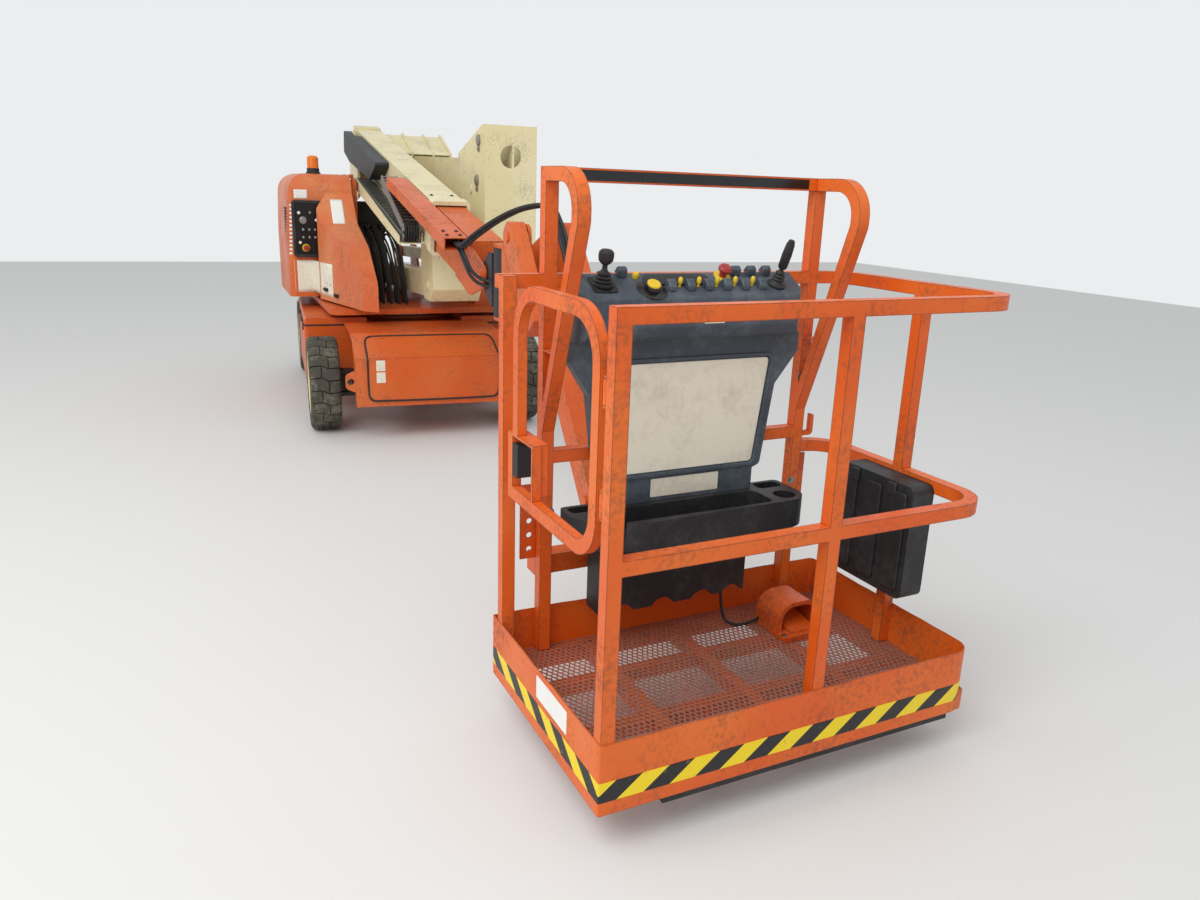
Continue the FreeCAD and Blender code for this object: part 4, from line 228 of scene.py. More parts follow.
slate_abs = moulded("slate_moulded_abs", "#3e4851", "#7d868e", 3, 0.5, 0.35)
black_polyethylene = moulded("black_moulded_polyethylene", "#1b1c1e", "#5f6062", 4, 0.55, 0.3)
tyre_rubber = moulded("dusty_tyre_rubber", "#45423a", "#8d8673", 5, 0.85, 0.9, 0.5)
hose_rubber = moulded("black_hose_rubber", "#1b1b1c", "#4b4947", 3, 0.6, 0.3)
nylon_pad = moulded("black_nylon_pad", "#1e1f20", "#46474a", 3, 0.5, 0.3)

# %% Bare metal


def machined(name, colour, roughness):
    """Bare metal with fine turned lines, 2 mm apart so that they still show in a render."""
    made, tree, shader, where = start_material(name, roughness, metallic=1.0)
    tone = add_node(tree, "ShaderNodeTexNoise", inputs={"Vector": where, "Scale": per_mm(60), "Detail": 5})
    mixed = add_node(tree, "ShaderNodeMix", {"data_type": "RGBA"}, {
        "Factor": tone.outputs["Fac"], "A": linear(colour), "B": linear("#8d8a86")})
    tree.links.new(mixed.outputs[2], shader.inputs["Base Color"])
    lines = add_node(tree, "ShaderNodeTexWave", inputs={"Vector": where, "Scale": per_mm(2), "Distortion": 1.5})
    relief = add_node(tree, "ShaderNodeBump", inputs={
        "Height": lines.outputs["Fac"], "Strength": 0.05, "Distance": 0.0003})
    tree.links.new(relief.outputs["Normal"], shader.inputs["Normal"])
    print("made", name)
    return made


chromed_steel = machined("hard_chromed_steel", "#d4d6d8", 0.18)
plain_steel = machined("plain_machined_steel", "#a9a6a2", 0.42)
zinc_plate = machined("galvanised_sheet_steel", "#9b9c98", 0.55)

# %% [markdown]
# ## Which node takes which finish
# A CAD node whose shape is right stays and only changes its material. The list is read by the
# start of the node's name, so a new node falls under its family.

# %% Finishes of the CAD nodes
FINISHES = [
    ("tyre_", tyre_rubber),
    ("wheel_", cream_enamel),
    ("chassis_frame", orange_enamel),
    ("end_covers", orange_enamel),
    ("battery_boxes", orange_enamel),
    ("slew_ring", plain_steel),
    ("axles", black_enamel),
    ("knuckle_", black_enamel),
    ("tie_rod", plain_steel),
    ("turntable", orange_enamel),
    ("counterweight", orange_enamel),
    ("power_pack", black_enamel),
    ("hood", hood_enamel),
    ("ground_controls", black_polyethylene),
    ("beacon", black_polyethylene),
    ("lower_riser", cream_enamel),
    ("upper_riser", cream_enamel),
    ("middle_upright", cream_enamel),
    ("rear_upright", cream_enamel),
    ("riser_cylinder_barrel", black_enamel),
    ("main_cylinder_barrel", black_enamel),
    ("jib_cylinder_barrel", black_enamel),
    ("riser_cylinder_rod", chromed_steel),
    ("main_cylinder_rod", chromed_steel),
    ("jib_cylinder_rod", chromed_steel),
    ("main_boom", cream_enamel),
    ("wear_pads", nylon_pad),
    ("fly_boom", orange_enamel),
    ("cable_tube", orange_enamel),
    ("track_tray", cream_enamel),
    ("power_track", nylon_pad),
    ("boom_cover", black_polyethylene),
    ("level_head", black_enamel),
    ("swing_actuator", black_enamel),
    ("jib_base", orange_enamel),
    ("jib_arm", orange_enamel),
    ("jib_link", orange_enamel),
    ("platform_support", orange_enamel),
    ("turn_actuator", black_enamel),
    ("platform_bracket", rail_enamel),
    ("platform_floor", rail_enamel),
    ("platform_rails", rail_enamel),
    ("platform_gate", rail_enamel),
    ("control_console", slate_abs),
    ("tool_tray", black_polyethylene),
    ("foot_pedal", orange_enamel),
    ("document_case", black_polyethylene),
    ("platform_bumper", black_polyethylene),
]

for name, node in nodes.items():
    finish = next(material for start, material in FINISHES if name.startswith(start))
    node.data.materials.clear()
    node.data.materials.append(finish)
print("finished", len(nodes), "nodes")

# %% [markdown]
# ## Measuring in millimetres
# The CAD is drawn in millimetres about a few natural places: the slewing axis, the boom's pivot
# and the platform's floor. Each gets a matrix that carries its millimetres to the row's metres,
# so a piece can be written in the numbers that a maker would read off a drawing.

# %% Frames of the machine
SLEW_X = -1901
BOOM_PLANE = -35
PLATFORM_TURN = math.radians(2.7)
PLATFORM_SHIFT = -42


def frame_at(x, y, z, turn=0.0, pitch=0.0):
    """Carries millimetres about a point of the machine to metres in the row frame."""
    spin = Matrix.Rotation(math.radians(turn), 4, "Z") @ Matrix.Rotation(math.radians(pitch), 4, "Y")
    return Matrix.Translation(Vector((SLEW_X + x, y, z)) / 1000) @ spin @ Matrix.Scale(0.001, 4)


MACHINE = frame_at(0, 0, 0)
CHASSIS = frame_at(0, 0, 0, turn=-4)
BOOM = frame_at(-1130, BOOM_PLANE, 1880, pitch=11)
PLATFORM = frame_at(
    4220 - PLATFORM_SHIFT * math.sin(PLATFORM_TURN),
    BOOM_PLANE + PLATFORM_SHIFT * math.cos(PLATFORM_TURN), 120, turn=2.7)
print("platform's floor corner", tuple(PLATFORM @ Vector((1039, -610, 0))))

# %% [markdown]
# ## A small workshop
# Most steel pieces are outlines pushed through a thickness, and most knobs are turned on a lathe.
# Three functions do this in bmesh, and one turns the result into a piece that rides on a body.
# An outline's corner may carry a radius, which becomes a short run of points on an arc.

# %% Outlines and prisms


def rounded(points, steps=5):
    """Corners (a, b) or (a, b, radius) to a closed outline with arcs at its corners."""
    line = []
    for i, point in enumerate(points):
        here = Vector(point[:2])
        if len(point) < 3 or not point[2]:
            line.append(here)
            continue
        before = (Vector(points[i - 1][:2]) - here).normalized()
        after = (Vector(points[(i + 1) % len(points)][:2]) - here).normalized()
        half = before.angle(after) / 2
        centre = here + (before + after).normalized() * point[2] / math.sin(half)
        start = here + before * point[2] / math.tan(half) - centre
        end = here + after * point[2] / math.tan(half) - centre
        turn = start.angle(end)
        for step in range(steps + 1):
            share = step / steps
            line.append(centre + (start * math.sin((1 - share) * turn) + end * math.sin(share * turn)) / math.sin(turn))
    return line


def rectangle(a_low, b_low, a_high, b_high, radius=0):
    return rounded([(a_low, b_low, radius), (a_high, b_low, radius), (a_high, b_high, radius), (a_low, b_high, radius)])


LIES = {
    "XY": lambda a, b, level: (a, b, level),
    "XZ": lambda a, b, level: (a, level, b),
    "YZ": lambda a, b, level: (level, a, b),
}


def add_prism(mesh, outline, low, high, lie="XY"):
    """Pushes an outline that lies in a plane from one level across it to another."""
    lower, upper = ([mesh.verts.new(LIES[lie](a, b, level)) for a, b in outline] for level in (low, high))
    for i in range(len(outline)):
        mesh.faces.new((lower[i - 1], lower[i], upper[i], upper[i - 1]))
    mesh.faces.new(lower)
    mesh.faces.new(upper)


def add_ring(mesh, outer, inner, low, high, lie="XY"):
    """A frame between two outlines that have the same number of points."""
    loops = [[mesh.verts.new(LIES[lie](a, b, level)) for a, b in line]
             for line, level in ((outer, low), (outer, high), (inner, high), (inner, low))]
    for k in range(4):
        this, following = loops[k], loops[(k + 1) % 4]
        for i in range(len(outer)):
            mesh.faces.new((this[i - 1], this[i], following[i], following[i - 1]))


def add_turned(mesh, profile, place=Matrix(), steps=24, capped=True):
    """Turns a profile of (radius, height) points about the Z axis of a place."""
    rings = []
    for radius, height in profile:
        if radius < 0.01:
            rings.append([mesh.verts.new(place @ Vector((0, 0, height)))])
            continue
        angles = [2 * math.pi * step / steps for step in range(steps)]
        rings.append([mesh.verts.new(place @ Vector((radius * math.cos(a), radius * math.sin(a), height)))
                      for a in angles])
    for one, two in zip(rings, rings[1:]):
        for i in range(steps):
            turn = [one[(i - 1) % len(one)], one[i % len(one)], two[i % len(two)], two[(i - 1) % len(two)]]
            mesh.faces.new(list(dict.fromkeys(turn)))
    for ring in (rings[0], rings[-1]):
        if capped and len(ring) > 1:
            mesh.faces.new(ring)


def add_bolt(mesh, place, size=12):
    """A hexagon head on its washer, standing along the place's Z axis."""
    add_turned(mesh, [(0, 0), (size * 0.95, 0), (size * 0.95, 1.6), (0, 1.6)], place, 16)
    add_turned(mesh, [(0, 1.5), (size * 0.58, 1.5), (size * 0.58, size * 0.5), (0, size * 0.5)], place, 6)


# %% Pieces and hoses


def make_piece(name, mesh, place, finish, body, bevel=0.0):
    """Makes a mesh in millimetres into a piece of one finish that rides on a body."""
    mesh.transform(place)
    bmesh.ops.recalc_face_normals(mesh, faces=mesh.faces)
    data = bpy.data.meshes.new(name)
    mesh.to_mesh(data)
    mesh.free()
    data.shade_smooth()
    data.set_sharp_from_angle(angle=math.radians(32))
    data.materials.append(finish)
    piece = bpy.data.objects.new(name, data)
    bpy.context.collection.objects.link(piece)
    if bevel:
        rounding = piece.modifiers.new("edges", "BEVEL")
        rounding.width = bevel / 1000
        rounding.segments = 2
        rounding.limit_method = "ANGLE"
        rounding.angle_limit = math.radians(40)
    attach(piece, body)
    print(name, len(data.vertices), "points")
    return piece


def make_hose(name, points, place, radius, finish, body):
    """A round hose on a smooth line through a few given points."""
    line = bpy.data.curves.new(name, "CURVE")
    line.dimensions = "3D"
    line.bevel_depth = radius / 1000
    line.bevel_resolution = 3
    line.use_fill_caps = True
    spline = line.splines.new("NURBS")
    spline.points.add(len(points) - 1)
    for spot, point in zip(spline.points, points):
        spot.co = (*(place @ Vector(point)), 1)
    spline.order_u = 3
    spline.use_endpoint_u = True
    line.materials.append(finish)
    hose = bpy.data.objects.new(name, line)
    bpy.context.collection.objects.link(hose)
    if body:
        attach(hose, body)
        return hose
    # A hose that spans two bodies is made a mesh that rides on no body
    bpy.context.view_layer.update()
    solid = bpy.data.objects.new(name + "_skin", bpy.data.meshes.new_from_object(hose))
    bpy.context.collection.objects.link(solid)
    bpy.data.objects.remove(hose)
    return solid


# %% [markdown]
# ## Films and signs
# The real machine carries vinyl signs. Here they stay blank: a pale film with rounded corners
# that follows the panel under it. Each point of a small grid is shot at the CAD node, and the
# film lies half a millimetre over the place where it lands, so it fits curved panels too.

# %% Laid films
# How far outside the surface a film's ray starts, in metres
LOOK_FROM = 0.6


def touch(node, start, heading):
    """Where a line from outside meets a node, in metres, and the way that the surface faces."""
    hit, point, normal, face = nodes[node].ray_cast(start, heading)
    if not hit:
        raise RuntimeError(f"no surface of {node} at {tuple(start)}")
    return point, normal


def lay_film(name, node, place, corners, across, up, heading, finish, body, cells=8):
    """Films from each corner over two edge vectors, in millimetres, pressed on a node along a heading."""
    film = bmesh.new()
    aim = (place.to_3x3() @ Vector(heading)).normalized()
    for corner in corners:
        grid = []
        for row in range(cells + 1):
            spots = []
            for column in range(cells + 1):
                spot = place @ (Vector(corner) + Vector(across) * column / cells + Vector(up) * row / cells)
                point, normal = touch(node, spot - aim * LOOK_FROM, aim)
                spots.append(film.verts.new(point + normal * 0.0003))
            grid.append(spots)
        for one, two in zip(grid, grid[1:]):
            for i in range(cells):
                film.faces.new((one[i], one[i + 1], two[i + 1], two[i]))
    sheet = make_piece(name, film, Matrix(), finish, body)
    thickness = sheet.modifiers.new("film", "SOLIDIFY")
    thickness.thickness = 0.0004
    thickness.offset = 1
    return sheet


vinyl = moulded("pale_vinyl_film", "#e9e5d2", "#b9ae98", 8, 0.45, 0.5, 0.05)
white_vinyl = moulded("white_vinyl_film", "#eeeeea", "#bdb8b0", 8, 0.4, 0.35, 0.05)
yellow_abs = moulded("yellow_moulded_abs", "#e8c51c", "#b7a14a", 3, 0.4, 0.3, 0.1)
red_abs = moulded("red_moulded_abs", "#a02a28", "#7c4340", 3, 0.4, 0.35, 0.1)
gloss_black = moulded("gloss_black_abs", "#141517", "#34363a", 3, 0.22, 0.25, 0.04)
amber_lens = moulded("amber_polycarbonate", "#e8790f", "#d98b32", 6, 0.2, 0.3, 0.05)

# %% [markdown]
# ## Tyres
# The tyres are solid rubber with deep lugs. A groove crosses the tread with a step in the middle,
# and a short cut splits each lug in two, left and right of the centre by turns. Every lug is a
# small grid bent round the tyre, with walls down to the groove's floor.

# %% Tread
TYRE_RADIUS = 300
RIM_RADIUS = 205
GROOVE_DEPTH = 13
LUGS = 24
GROOVE = 8
# Across the tyre, and the radius there
CROWN = [(-95, 252), (-94, 274), (-86, 290), (-72, 298), (-50, 300), (-30, 300), (-15, 300), (0, 300),
         (15, 300), (30, 300), (50, 300), (72, 298), (86, 290), (94, 274), (95, 252)]


def lug_sections(cut, side):
    """The crown's sections that one half of a lug covers, up to the cut beside the middle."""
    edge = cut + side * GROOVE / 2
    kept = [(across, radius) for across, radius in CROWN if (across - edge) * side > 2]
    if side < 0:
        return kept + [(edge, TYRE_RADIUS)]
    return [(edge, TYRE_RADIUS)] + kept


def add_lug(mesh, start, sections):
    """A lug between two grooves, whose walls go down to the tyre's body."""
    pitch = 2 * math.pi * TYRE_RADIUS / LUGS
    rows = []
    for across, radius in sections:
        stepped = 15 * math.tanh(across / 18) - across * 0.12
        spots = []
        for depth in (GROOVE_DEPTH, 0):
            for share in (0, 0.33, 0.67, 1):
                along = start + stepped + GROOVE / 2 + (pitch - GROOVE) * share
                angle = along / TYRE_RADIUS
                reach = radius - depth
                width = across * (1 - depth * 0.005)
                spots.append(mesh.verts.new((reach * math.sin(angle), width, reach * math.cos(angle))))
        rows.append(spots)
    for one, two in zip(rows, rows[1:]):
        for i in (4, 5, 6):
            mesh.faces.new((one[i], one[i + 1], two[i + 1], two[i]))
        mesh.faces.new((one[0], one[4], two[4], two[0]))
        mesh.faces.new((one[7], one[3], two[3], two[7]))
    for spots in (rows[0], rows[-1]):
        for i in range(3):
            mesh.faces.new((spots[i], spots[i + 1], spots[i + 5], spots[i + 4]))


body_line = [(RIM_RADIUS + 1, -89)]
body_line += [(radius - GROOVE_DEPTH, across * (1 - GROOVE_DEPTH * 0.005)) for across, radius in CROWN]
body_line += [(RIM_RADIUS + 1, 89), (RIM_RADIUS + 1, -89)]
axle_way = Matrix.Rotation(math.radians(-90), 4, "X")
for where, x, side in (("front_left", 1005, 1), ("front_right", 1005, -1), ("rear_left", -1005, 1),
                       ("rear_right", -1005, -1)):
    facing = Matrix.Rotation(0 if side > 0 else math.pi, 4, "Z")
    wheel_place = CHASSIS @ Matrix.Translation((x, 655 * side, TYRE_RADIUS)) @ facing
    tread = bmesh.new()
    add_turned(tread, body_line, axle_way, 96, capped=False)
    bmesh.ops.remove_doubles(tread, verts=tread.verts, dist=0.01)
    for lug in range(LUGS):
        around = lug * 2 * math.pi * TYRE_RADIUS / LUGS
        cut = 22 if lug % 2 else -22
        for half in (-1, 1):
            add_lug(tread, around, lug_sections(cut, half))
    tyre = make_piece(f"solid_tyre_{where}", tread, wheel_place, tyre_rubber, f"wheel_{where}")
    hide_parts(f"tyre_{where}")
    fixings = bmesh.new()
    for nut in range(8):
        angle = 2 * math.pi * nut / 8
        spot = Matrix.Translation((118 * math.sin(angle), 39, 118 * math.cos(angle))) @ axle_way
        add_bolt(fixings, spot, 24)
    make_piece(f"wheel_nuts_{where}", fixings, wheel_place, plain_steel, f"wheel_{where}")

# %% [markdown]
# ## The platform's floor
# Expanded metal is a sheet that is slit and pulled open, so the ground shows through. A texture
# can't give that, so every strand is a small bar between two knots of the lattice. The toe board
# round it is 4 mm sheet, and years of knocks have left its top edge wavy.

# %% Floor frame and toe boards
FAR, NEAR, HALF = 300, 1038, 609
TOE_TOP = 196
TUBE = 40
FLOOR_HIGH = 60


def resampled(line, step):
    """A closed outline with points no further apart than a step."""
    result = []
    for one, two in zip(line, line[1:] + line[:1]):
        count = max(1, int((two - one).length / step))
        result += [one.lerp(two, k / count) for k in range(count)]
    return result


toe_outer = resampled(rounded([(FAR, -HALF), (NEAR, -HALF, 6), (NEAR, HALF, 60), (FAR, HALF, 20)], 6), 45)
centre = Vector(((FAR + NEAR) / 2, 0))
toe_inner = []
for i, spot in enumerate(toe_outer):
    along = (toe_outer[(i + 1) % len(toe_outer)] - toe_outer[i - 1]).normalized()
    toe_inner.append(spot + Vector((-along.y, along.x)) * 4)
boards = bmesh.new()
add_ring(boards, toe_outer, toe_inner, 0, TOE_TOP)
for spot in boards.verts:
    if spot.co.z > 1:
        dent = noise.noise(spot.co / 110) * 4
        inward = (centre - spot.co.xy).normalized()
        spot.co.xy += inward * max(dent, 0)
        spot.co.z += min(noise.noise(spot.co / 70) * 4, 1)
toe_board = make_piece("toe_board", boards, PLATFORM, rail_enamel, "platform", 1)
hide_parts("platform_floor")

bars = bmesh.new()
frame_outer = rectangle(FAR + 4, -HALF + 4, NEAR - 4, HALF - 4, 20)
frame_inner = rectangle(FAR + TUBE, -HALF + TUBE, NEAR - TUBE, HALF - TUBE, 20)
add_ring(bars, frame_outer, frame_inner, 1, FLOOR_HIGH)
for y in (-305, 0, 305):
    add_prism(bars, rectangle(FAR + TUBE - 5, y - TUBE / 2, NEAR - TUBE + 5, y + TUBE / 2), 20, FLOOR_HIGH)
for x in (510, 760):
    add_prism(bars, rectangle(x, -HALF + TUBE - 5, x + 44, HALF - TUBE + 5), 24, FLOOR_HIGH - 1)
make_piece("floor_bars", bars, PLATFORM, orange_enamel, "platform")

# %% Expanded metal
rust = enamel("worn_orange_on_expanded_metal", "#b9481c", "#8d3a1c", "#8c867c", 1.0, 0.55, 0.6)
HALF_PITCH_X = 17
HALF_PITCH_Y = 9
STRAND = 2.3
corners = []
faces = []
columns = int((HALF - 6) / HALF_PITCH_Y)
rows = int((NEAR - FAR - 12) / HALF_PITCH_X)
for row in range(rows):
    for column in range(-columns, columns + 1):
        for side in (-1, 1):
            if (row + column) % 2 or abs(column + side) > columns:
                continue
            one = Vector((FAR + 6 + row * HALF_PITCH_X, column * HALF_PITCH_Y, FLOOR_HIGH + 2))
            two = one + Vector((HALF_PITCH_X, side * HALF_PITCH_Y, 1.5 * side))
            along = (two - one).normalized()
            wide = Vector((-along.y, along.x, 0)) * STRAND
            first = len(corners)
            for end in (one - along, two + along):
                for lean in (wide, -wide):
                    for lift in (-1.2, 1.2):
                        corners.append(PLATFORM @ (end + lean + Vector((0, 0, lift))))
            for a, b, c, d in ((0, 1, 5, 4), (3, 2, 6, 7), (1, 3, 7, 5), (2, 0, 4, 6)):
                faces.append((first + a, first + b, first + c, first + d))
lattice = bpy.data.meshes.new("expanded_metal")
lattice.from_pydata(corners, [], faces)
lattice.materials.append(rust)
expanded_metal = bpy.data.objects.new("expanded_metal", lattice)
bpy.context.collection.objects.link(expanded_metal)
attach(expanded_metal, "platform")
print("expanded metal", len(faces), "faces")

# %% [markdown]
# ## Hazard band
# The band is printed film along the toe board: black bars that lean over yellow, 155 mm from bar
# to bar. One formula in world metres draws them round the corner without a seam.

# %% Band
hazard_film, tree, shader, where = start_material("hazard_film", 0.4, ior=1.5)
parts = add_node(tree, "ShaderNodeSeparateXYZ", inputs={"Vector": where})
across = add_node(tree, "ShaderNodeMath", {"operation": "SUBTRACT"}, {0: parts.outputs["Y"], 1: parts.outputs["X"]})
leant = add_node(tree, "ShaderNodeMath", {"operation": "MULTIPLY_ADD"}, {
    0: parts.outputs["Z"], 1: -1.35, 2: across.outputs["Value"]})
bars_along = add_node(tree, "ShaderNodeMath", {"operation": "MULTIPLY"}, {0: leant.outputs["Value"], 1: per_mm(155)})
share = add_node(tree, "ShaderNodeMath", {"operation": "FRACT"}, {0: bars_along.outputs["Value"]})
is_black = add_node(tree, "ShaderNodeMath", {"operation": "GREATER_THAN"}, {0: share.outputs["Value"], 1: 0.5})
scuff = add_node(tree, "ShaderNodeTexNoise", inputs={"Vector": where, "Scale": per_mm(40), "Detail": 9, "Roughness": 0.7})
worn = add_node(tree, "ShaderNodeMapRange", inputs={"Value": scuff.outputs["Fac"], "From Min": 0.6, "From Max": 0.72})
bar_colour = add_node(tree, "ShaderNodeMix", {"data_type": "RGBA"}, {
    "Factor": is_black.outputs["Value"], "A": linear("#f2d413"), "B": linear("#17171a")})
film_colour = add_node(tree, "ShaderNodeMix", {"data_type": "RGBA"}, {
    "Factor": worn.outputs["Result"], "A": bar_colour.outputs[2], "B": linear("#8c7a52")})
tree.links.new(film_colour.outputs[2], shader.inputs["Base Color"])

band = bmesh.new()
path = [(FAR + 4, -HALF), (NEAR - 5, -HALF), (NEAR - 1, -HALF + 1), (NEAR, -HALF + 5), (NEAR, HALF - 62)]
path += [(NEAR - 60 + 60 * math.cos(a), HALF - 60 + 60 * math.sin(a)) for a in (0.2, 0.5, 0.8)]
outward = [(0, -0.6), (0, -0.6), (0.5, -0.5), (0.6, 0), (0.6, 0), (0.6, 0.1), (0.5, 0.3), (0.4, 0.4)]
film_out = [Vector(p) + Vector(o) for p, o in zip(path, outward)]
film_in = [Vector(p) - Vector(o) for p, o in zip(path, outward)]
add_prism(band, film_out + film_in[::-1], 38, 93)
make_piece("hazard_band", band, PLATFORM, hazard_film, "platform")
plate = bmesh.new()
add_prism(plate, rectangle(650, 112, 850, 178, 4), -HALF - 0.8, -HALF + 1, "XZ")
make_piece("blank_plate_left", plate, PLATFORM, white_vinyl, "platform")

# %% [markdown]
# ## The operator's desk
# Everything on the desk stands square to its sloping top, so the desk gets a frame of its own:
# X down the slope, Y to the operator's right and Z out of the panel. The joysticks are bellows
# and a grip, both turned. Moulded guards stand between the toggles, as they do on the real one.

# %% Controls on the desk
DESK = PLATFORM @ Matrix.Translation((351.3, 0, 1222)) @ Matrix.Rotation(math.radians(31.5), 4, "Y")
BELLOWS = [(30, 0), (31, 6), (24, 10), (29, 15), (21, 20), (26, 25), (17, 30), (21, 35), (12, 40), (8, 46)]


def on_desk(down, across, lean=0.0):
    """A place on the desk's top, square to it or leaning up the slope by some degrees."""
    return Matrix.Translation((down, across, 0)) @ Matrix.Rotation(math.radians(lean), 4, "Y")


sticks = bmesh.new()
left_stick = on_desk(57, -325, -20)
add_prism(sticks, rectangle(22, -362, 92, -288, 8), 0, 4)
add_turned(sticks, BELLOWS + [(7, 58), (13, 62), (20, 70), (22, 82), (21, 94), (15, 100), (0, 102)], left_stick)
right_stick = on_desk(66, 262, -8)
add_turned(sticks, [(29, 0), (29, 4), (22, 8)] + [(r * 0.7, h + 6) for r, h in BELLOWS[2:]]
           + [(11, 55), (14, 60), (15, 100), (13, 132), (9, 146), (0, 148)], right_stick)
make_piece("joysticks", sticks, DESK, hose_rubber, "platform")

glossy = bmesh.new()
add_prism(glossy, rounded([(14, -180, 12), (50, -196, 10), (62, -190, 8), (62, 34, 8), (50, 40, 10), (14, 24, 12)]),
          -1, 5)
add_turned(glossy, [(46, -1), (46, 2), (42, 3), (0, 3)], on_desk(80, -178), 32)
add_turned(glossy, [(24, 0), (24, 8), (22, 16), (20, 18), (0, 18)], on_desk(80, -178))
make_piece("display_and_knob", glossy, DESK, gloss_black, "platform", 1)

guards = bmesh.new()
for across in (-115, -52, 11, 74, 137, 200):
    add_prism(guards, rounded([(52, 0), (92, 0), (88, 16, 8), (62, 27, 8)]), across - 13, across + 13, "XZ")
for across in (-396, -250, 137, 192, 247):
    add_prism(guards, rounded([(-6, 0), (26, 0), (20, 22, 8), (2, 28, 8)]), across - 14, across + 14, "XZ")
make_piece("control_guards", guards, DESK, slate_abs, "platform", 3)

yellow = bmesh.new()
for across in (-83.5, -20.5, 42.5, 105.5, 168.5):
    add_turned(yellow, [(4, 0), (4, 8), (6.5, 12), (6.5, 25), (4, 29), (0, 30)], on_desk(70, across, -18), 12)
add_turned(yellow, [(20, 17), (20, 22), (18, 24), (0, 24)], on_desk(80, -178))
add_turned(yellow, [(10, 0), (10, 10), (7, 15), (0, 16)], on_desk(22, -208), 16)
add_turned(yellow, [(27, 0), (27, 2.5), (0, 3)], on_desk(24, 87))
make_piece("yellow_switches", yellow, DESK, yellow_abs, "platform")
stop = bmesh.new()
add_turned(stop, [(11, 2), (11, 20), (20, 22), (21, 30), (16, 37), (0, 40)], on_desk(24, 87))
make_piece("stop_button", stop, DESK, red_abs, "platform")

# %% [markdown]
# ## Signs on the board, blank
# The board under the desk carries a large placard in a raised rim, and a small one below it.

# %% Placards
BOARD = 385.3
card = bmesh.new()
add_prism(card, rounded([(-300, 960, 12), (275, 960, 12), (236, 625, 12), (-262, 625, 12)]), BOARD, BOARD + 1, "YZ")
add_prism(card, rectangle(-130, 542, 115, 600, 3), BOARD, BOARD + 1, "YZ")
add_prism(card, rectangle(-18, 1084, 52, 1106, 3), 454, 456, "YZ")
make_piece("board_placards", card, PLATFORM, vinyl, "platform")
rim = bmesh.new()
outer_rim = rounded([(-316, 976, 20), (292, 976, 20), (250, 609, 20), (-276, 609, 20)])
inner_rim = rounded([(-304, 964, 14), (279, 964, 14), (240, 621, 14), (-266, 621, 14)])
add_ring(rim, outer_rim, inner_rim, BOARD - 1, BOARD + 7, "YZ")
make_piece("placard_rim", rim, PLATFORM, slate_abs, "platform", 2)

# %% Fittings of the platform
small = bmesh.new()
add_prism(small, rectangle(-405, 1470, 405, 1498), 302, 302.9, "YZ")
add_prism(small, rectangle(-405, 1470, 405, 1498), 341.1, 342, "YZ")
make_piece("hoop_strip", small, PLATFORM, gloss_black, "platform")
case_parts = bmesh.new()
for x in (585, 690, 795):
    add_prism(case_parts, rectangle(x - 34, 310, x + 34, 618, 12), 478, 486, "XZ")
for x in (610, 770):
    add_prism(case_parts, rectangle(x - 16, 600, x + 16, 640, 4), 474, 486, "XZ")
make_piece("case_ribs_and_latches", case_parts, PLATFORM, black_polyethylene, "platform", 3)
bolts = bmesh.new()
to_operator = Matrix.Rotation(math.radians(90), 4, "Y")
for y, z in ((-445, 880), (-445, 520), (445, 880), (445, 520)):
    add_bolt(bolts, Matrix.Translation((341, y, z)) @ to_operator, 14)
for x in (450, 580):
    for y in (285, 435):
        add_bolt(bolts, Matrix.Translation((x, y, 81)), 10)
make_piece("platform_bolts", bolts, PLATFORM, plain_steel, "platform")
lead_points = [(400, 150, 190), (408, 150, 100), (440, 175, 74), (450, 230, 72), (447, 280, 84)]
lead = make_hose("pedal_lead", lead_points, PLATFORM, 5, hose_rubber, "platform")

# %% [markdown]
# ## The chassis cover
# The cover's hatch wraps from its face on to its slope. A rubber edging runs round it, pressed
# over the sheet's edge, and four bolts hold it.

# %% Hatch
NOSE, CREASE, SLOPE = 1435, 525, math.degrees(math.atan2(115, 285))
face_hatch = bmesh.new()
add_prism(face_hatch, rounded([(-408, 262, 60), (408, 262, 60), (408, 527), (-408, 527)]), NOSE - 1, NOSE + 7, "YZ")
for y in (-300, 300):
    add_bolt(face_hatch, Matrix.Translation((NOSE + 6.5, y, 290)) @ to_operator, 16)
make_piece("hatch_face", face_hatch, CHASSIS, orange_enamel, "chassis", 2)
SLOPE_PLACE = CHASSIS @ Matrix.Translation((NOSE, 0, CREASE)) @ Matrix.Rotation(math.radians(SLOPE), 4, "Y")
slope_hatch = bmesh.new()
add_prism(slope_hatch, rounded([(3, -408), (3, 408), (-215, 408, 20), (-252, 360, 20), (-252, -360, 20), (-215, -408, 20)]),
          -1, 7)
for y in (-300, 300):
    add_bolt(slope_hatch, Matrix.Translation((-232, y, 6.5)), 16)
make_piece("hatch_slope", slope_hatch, SLOPE_PLACE, orange_enamel, "chassis", 2)


def on_slope(back, side):
    """A point a little over the slope, some way behind the nose."""
    return (NOSE - back, side, CREASE + back * 115 / 285 + 8)


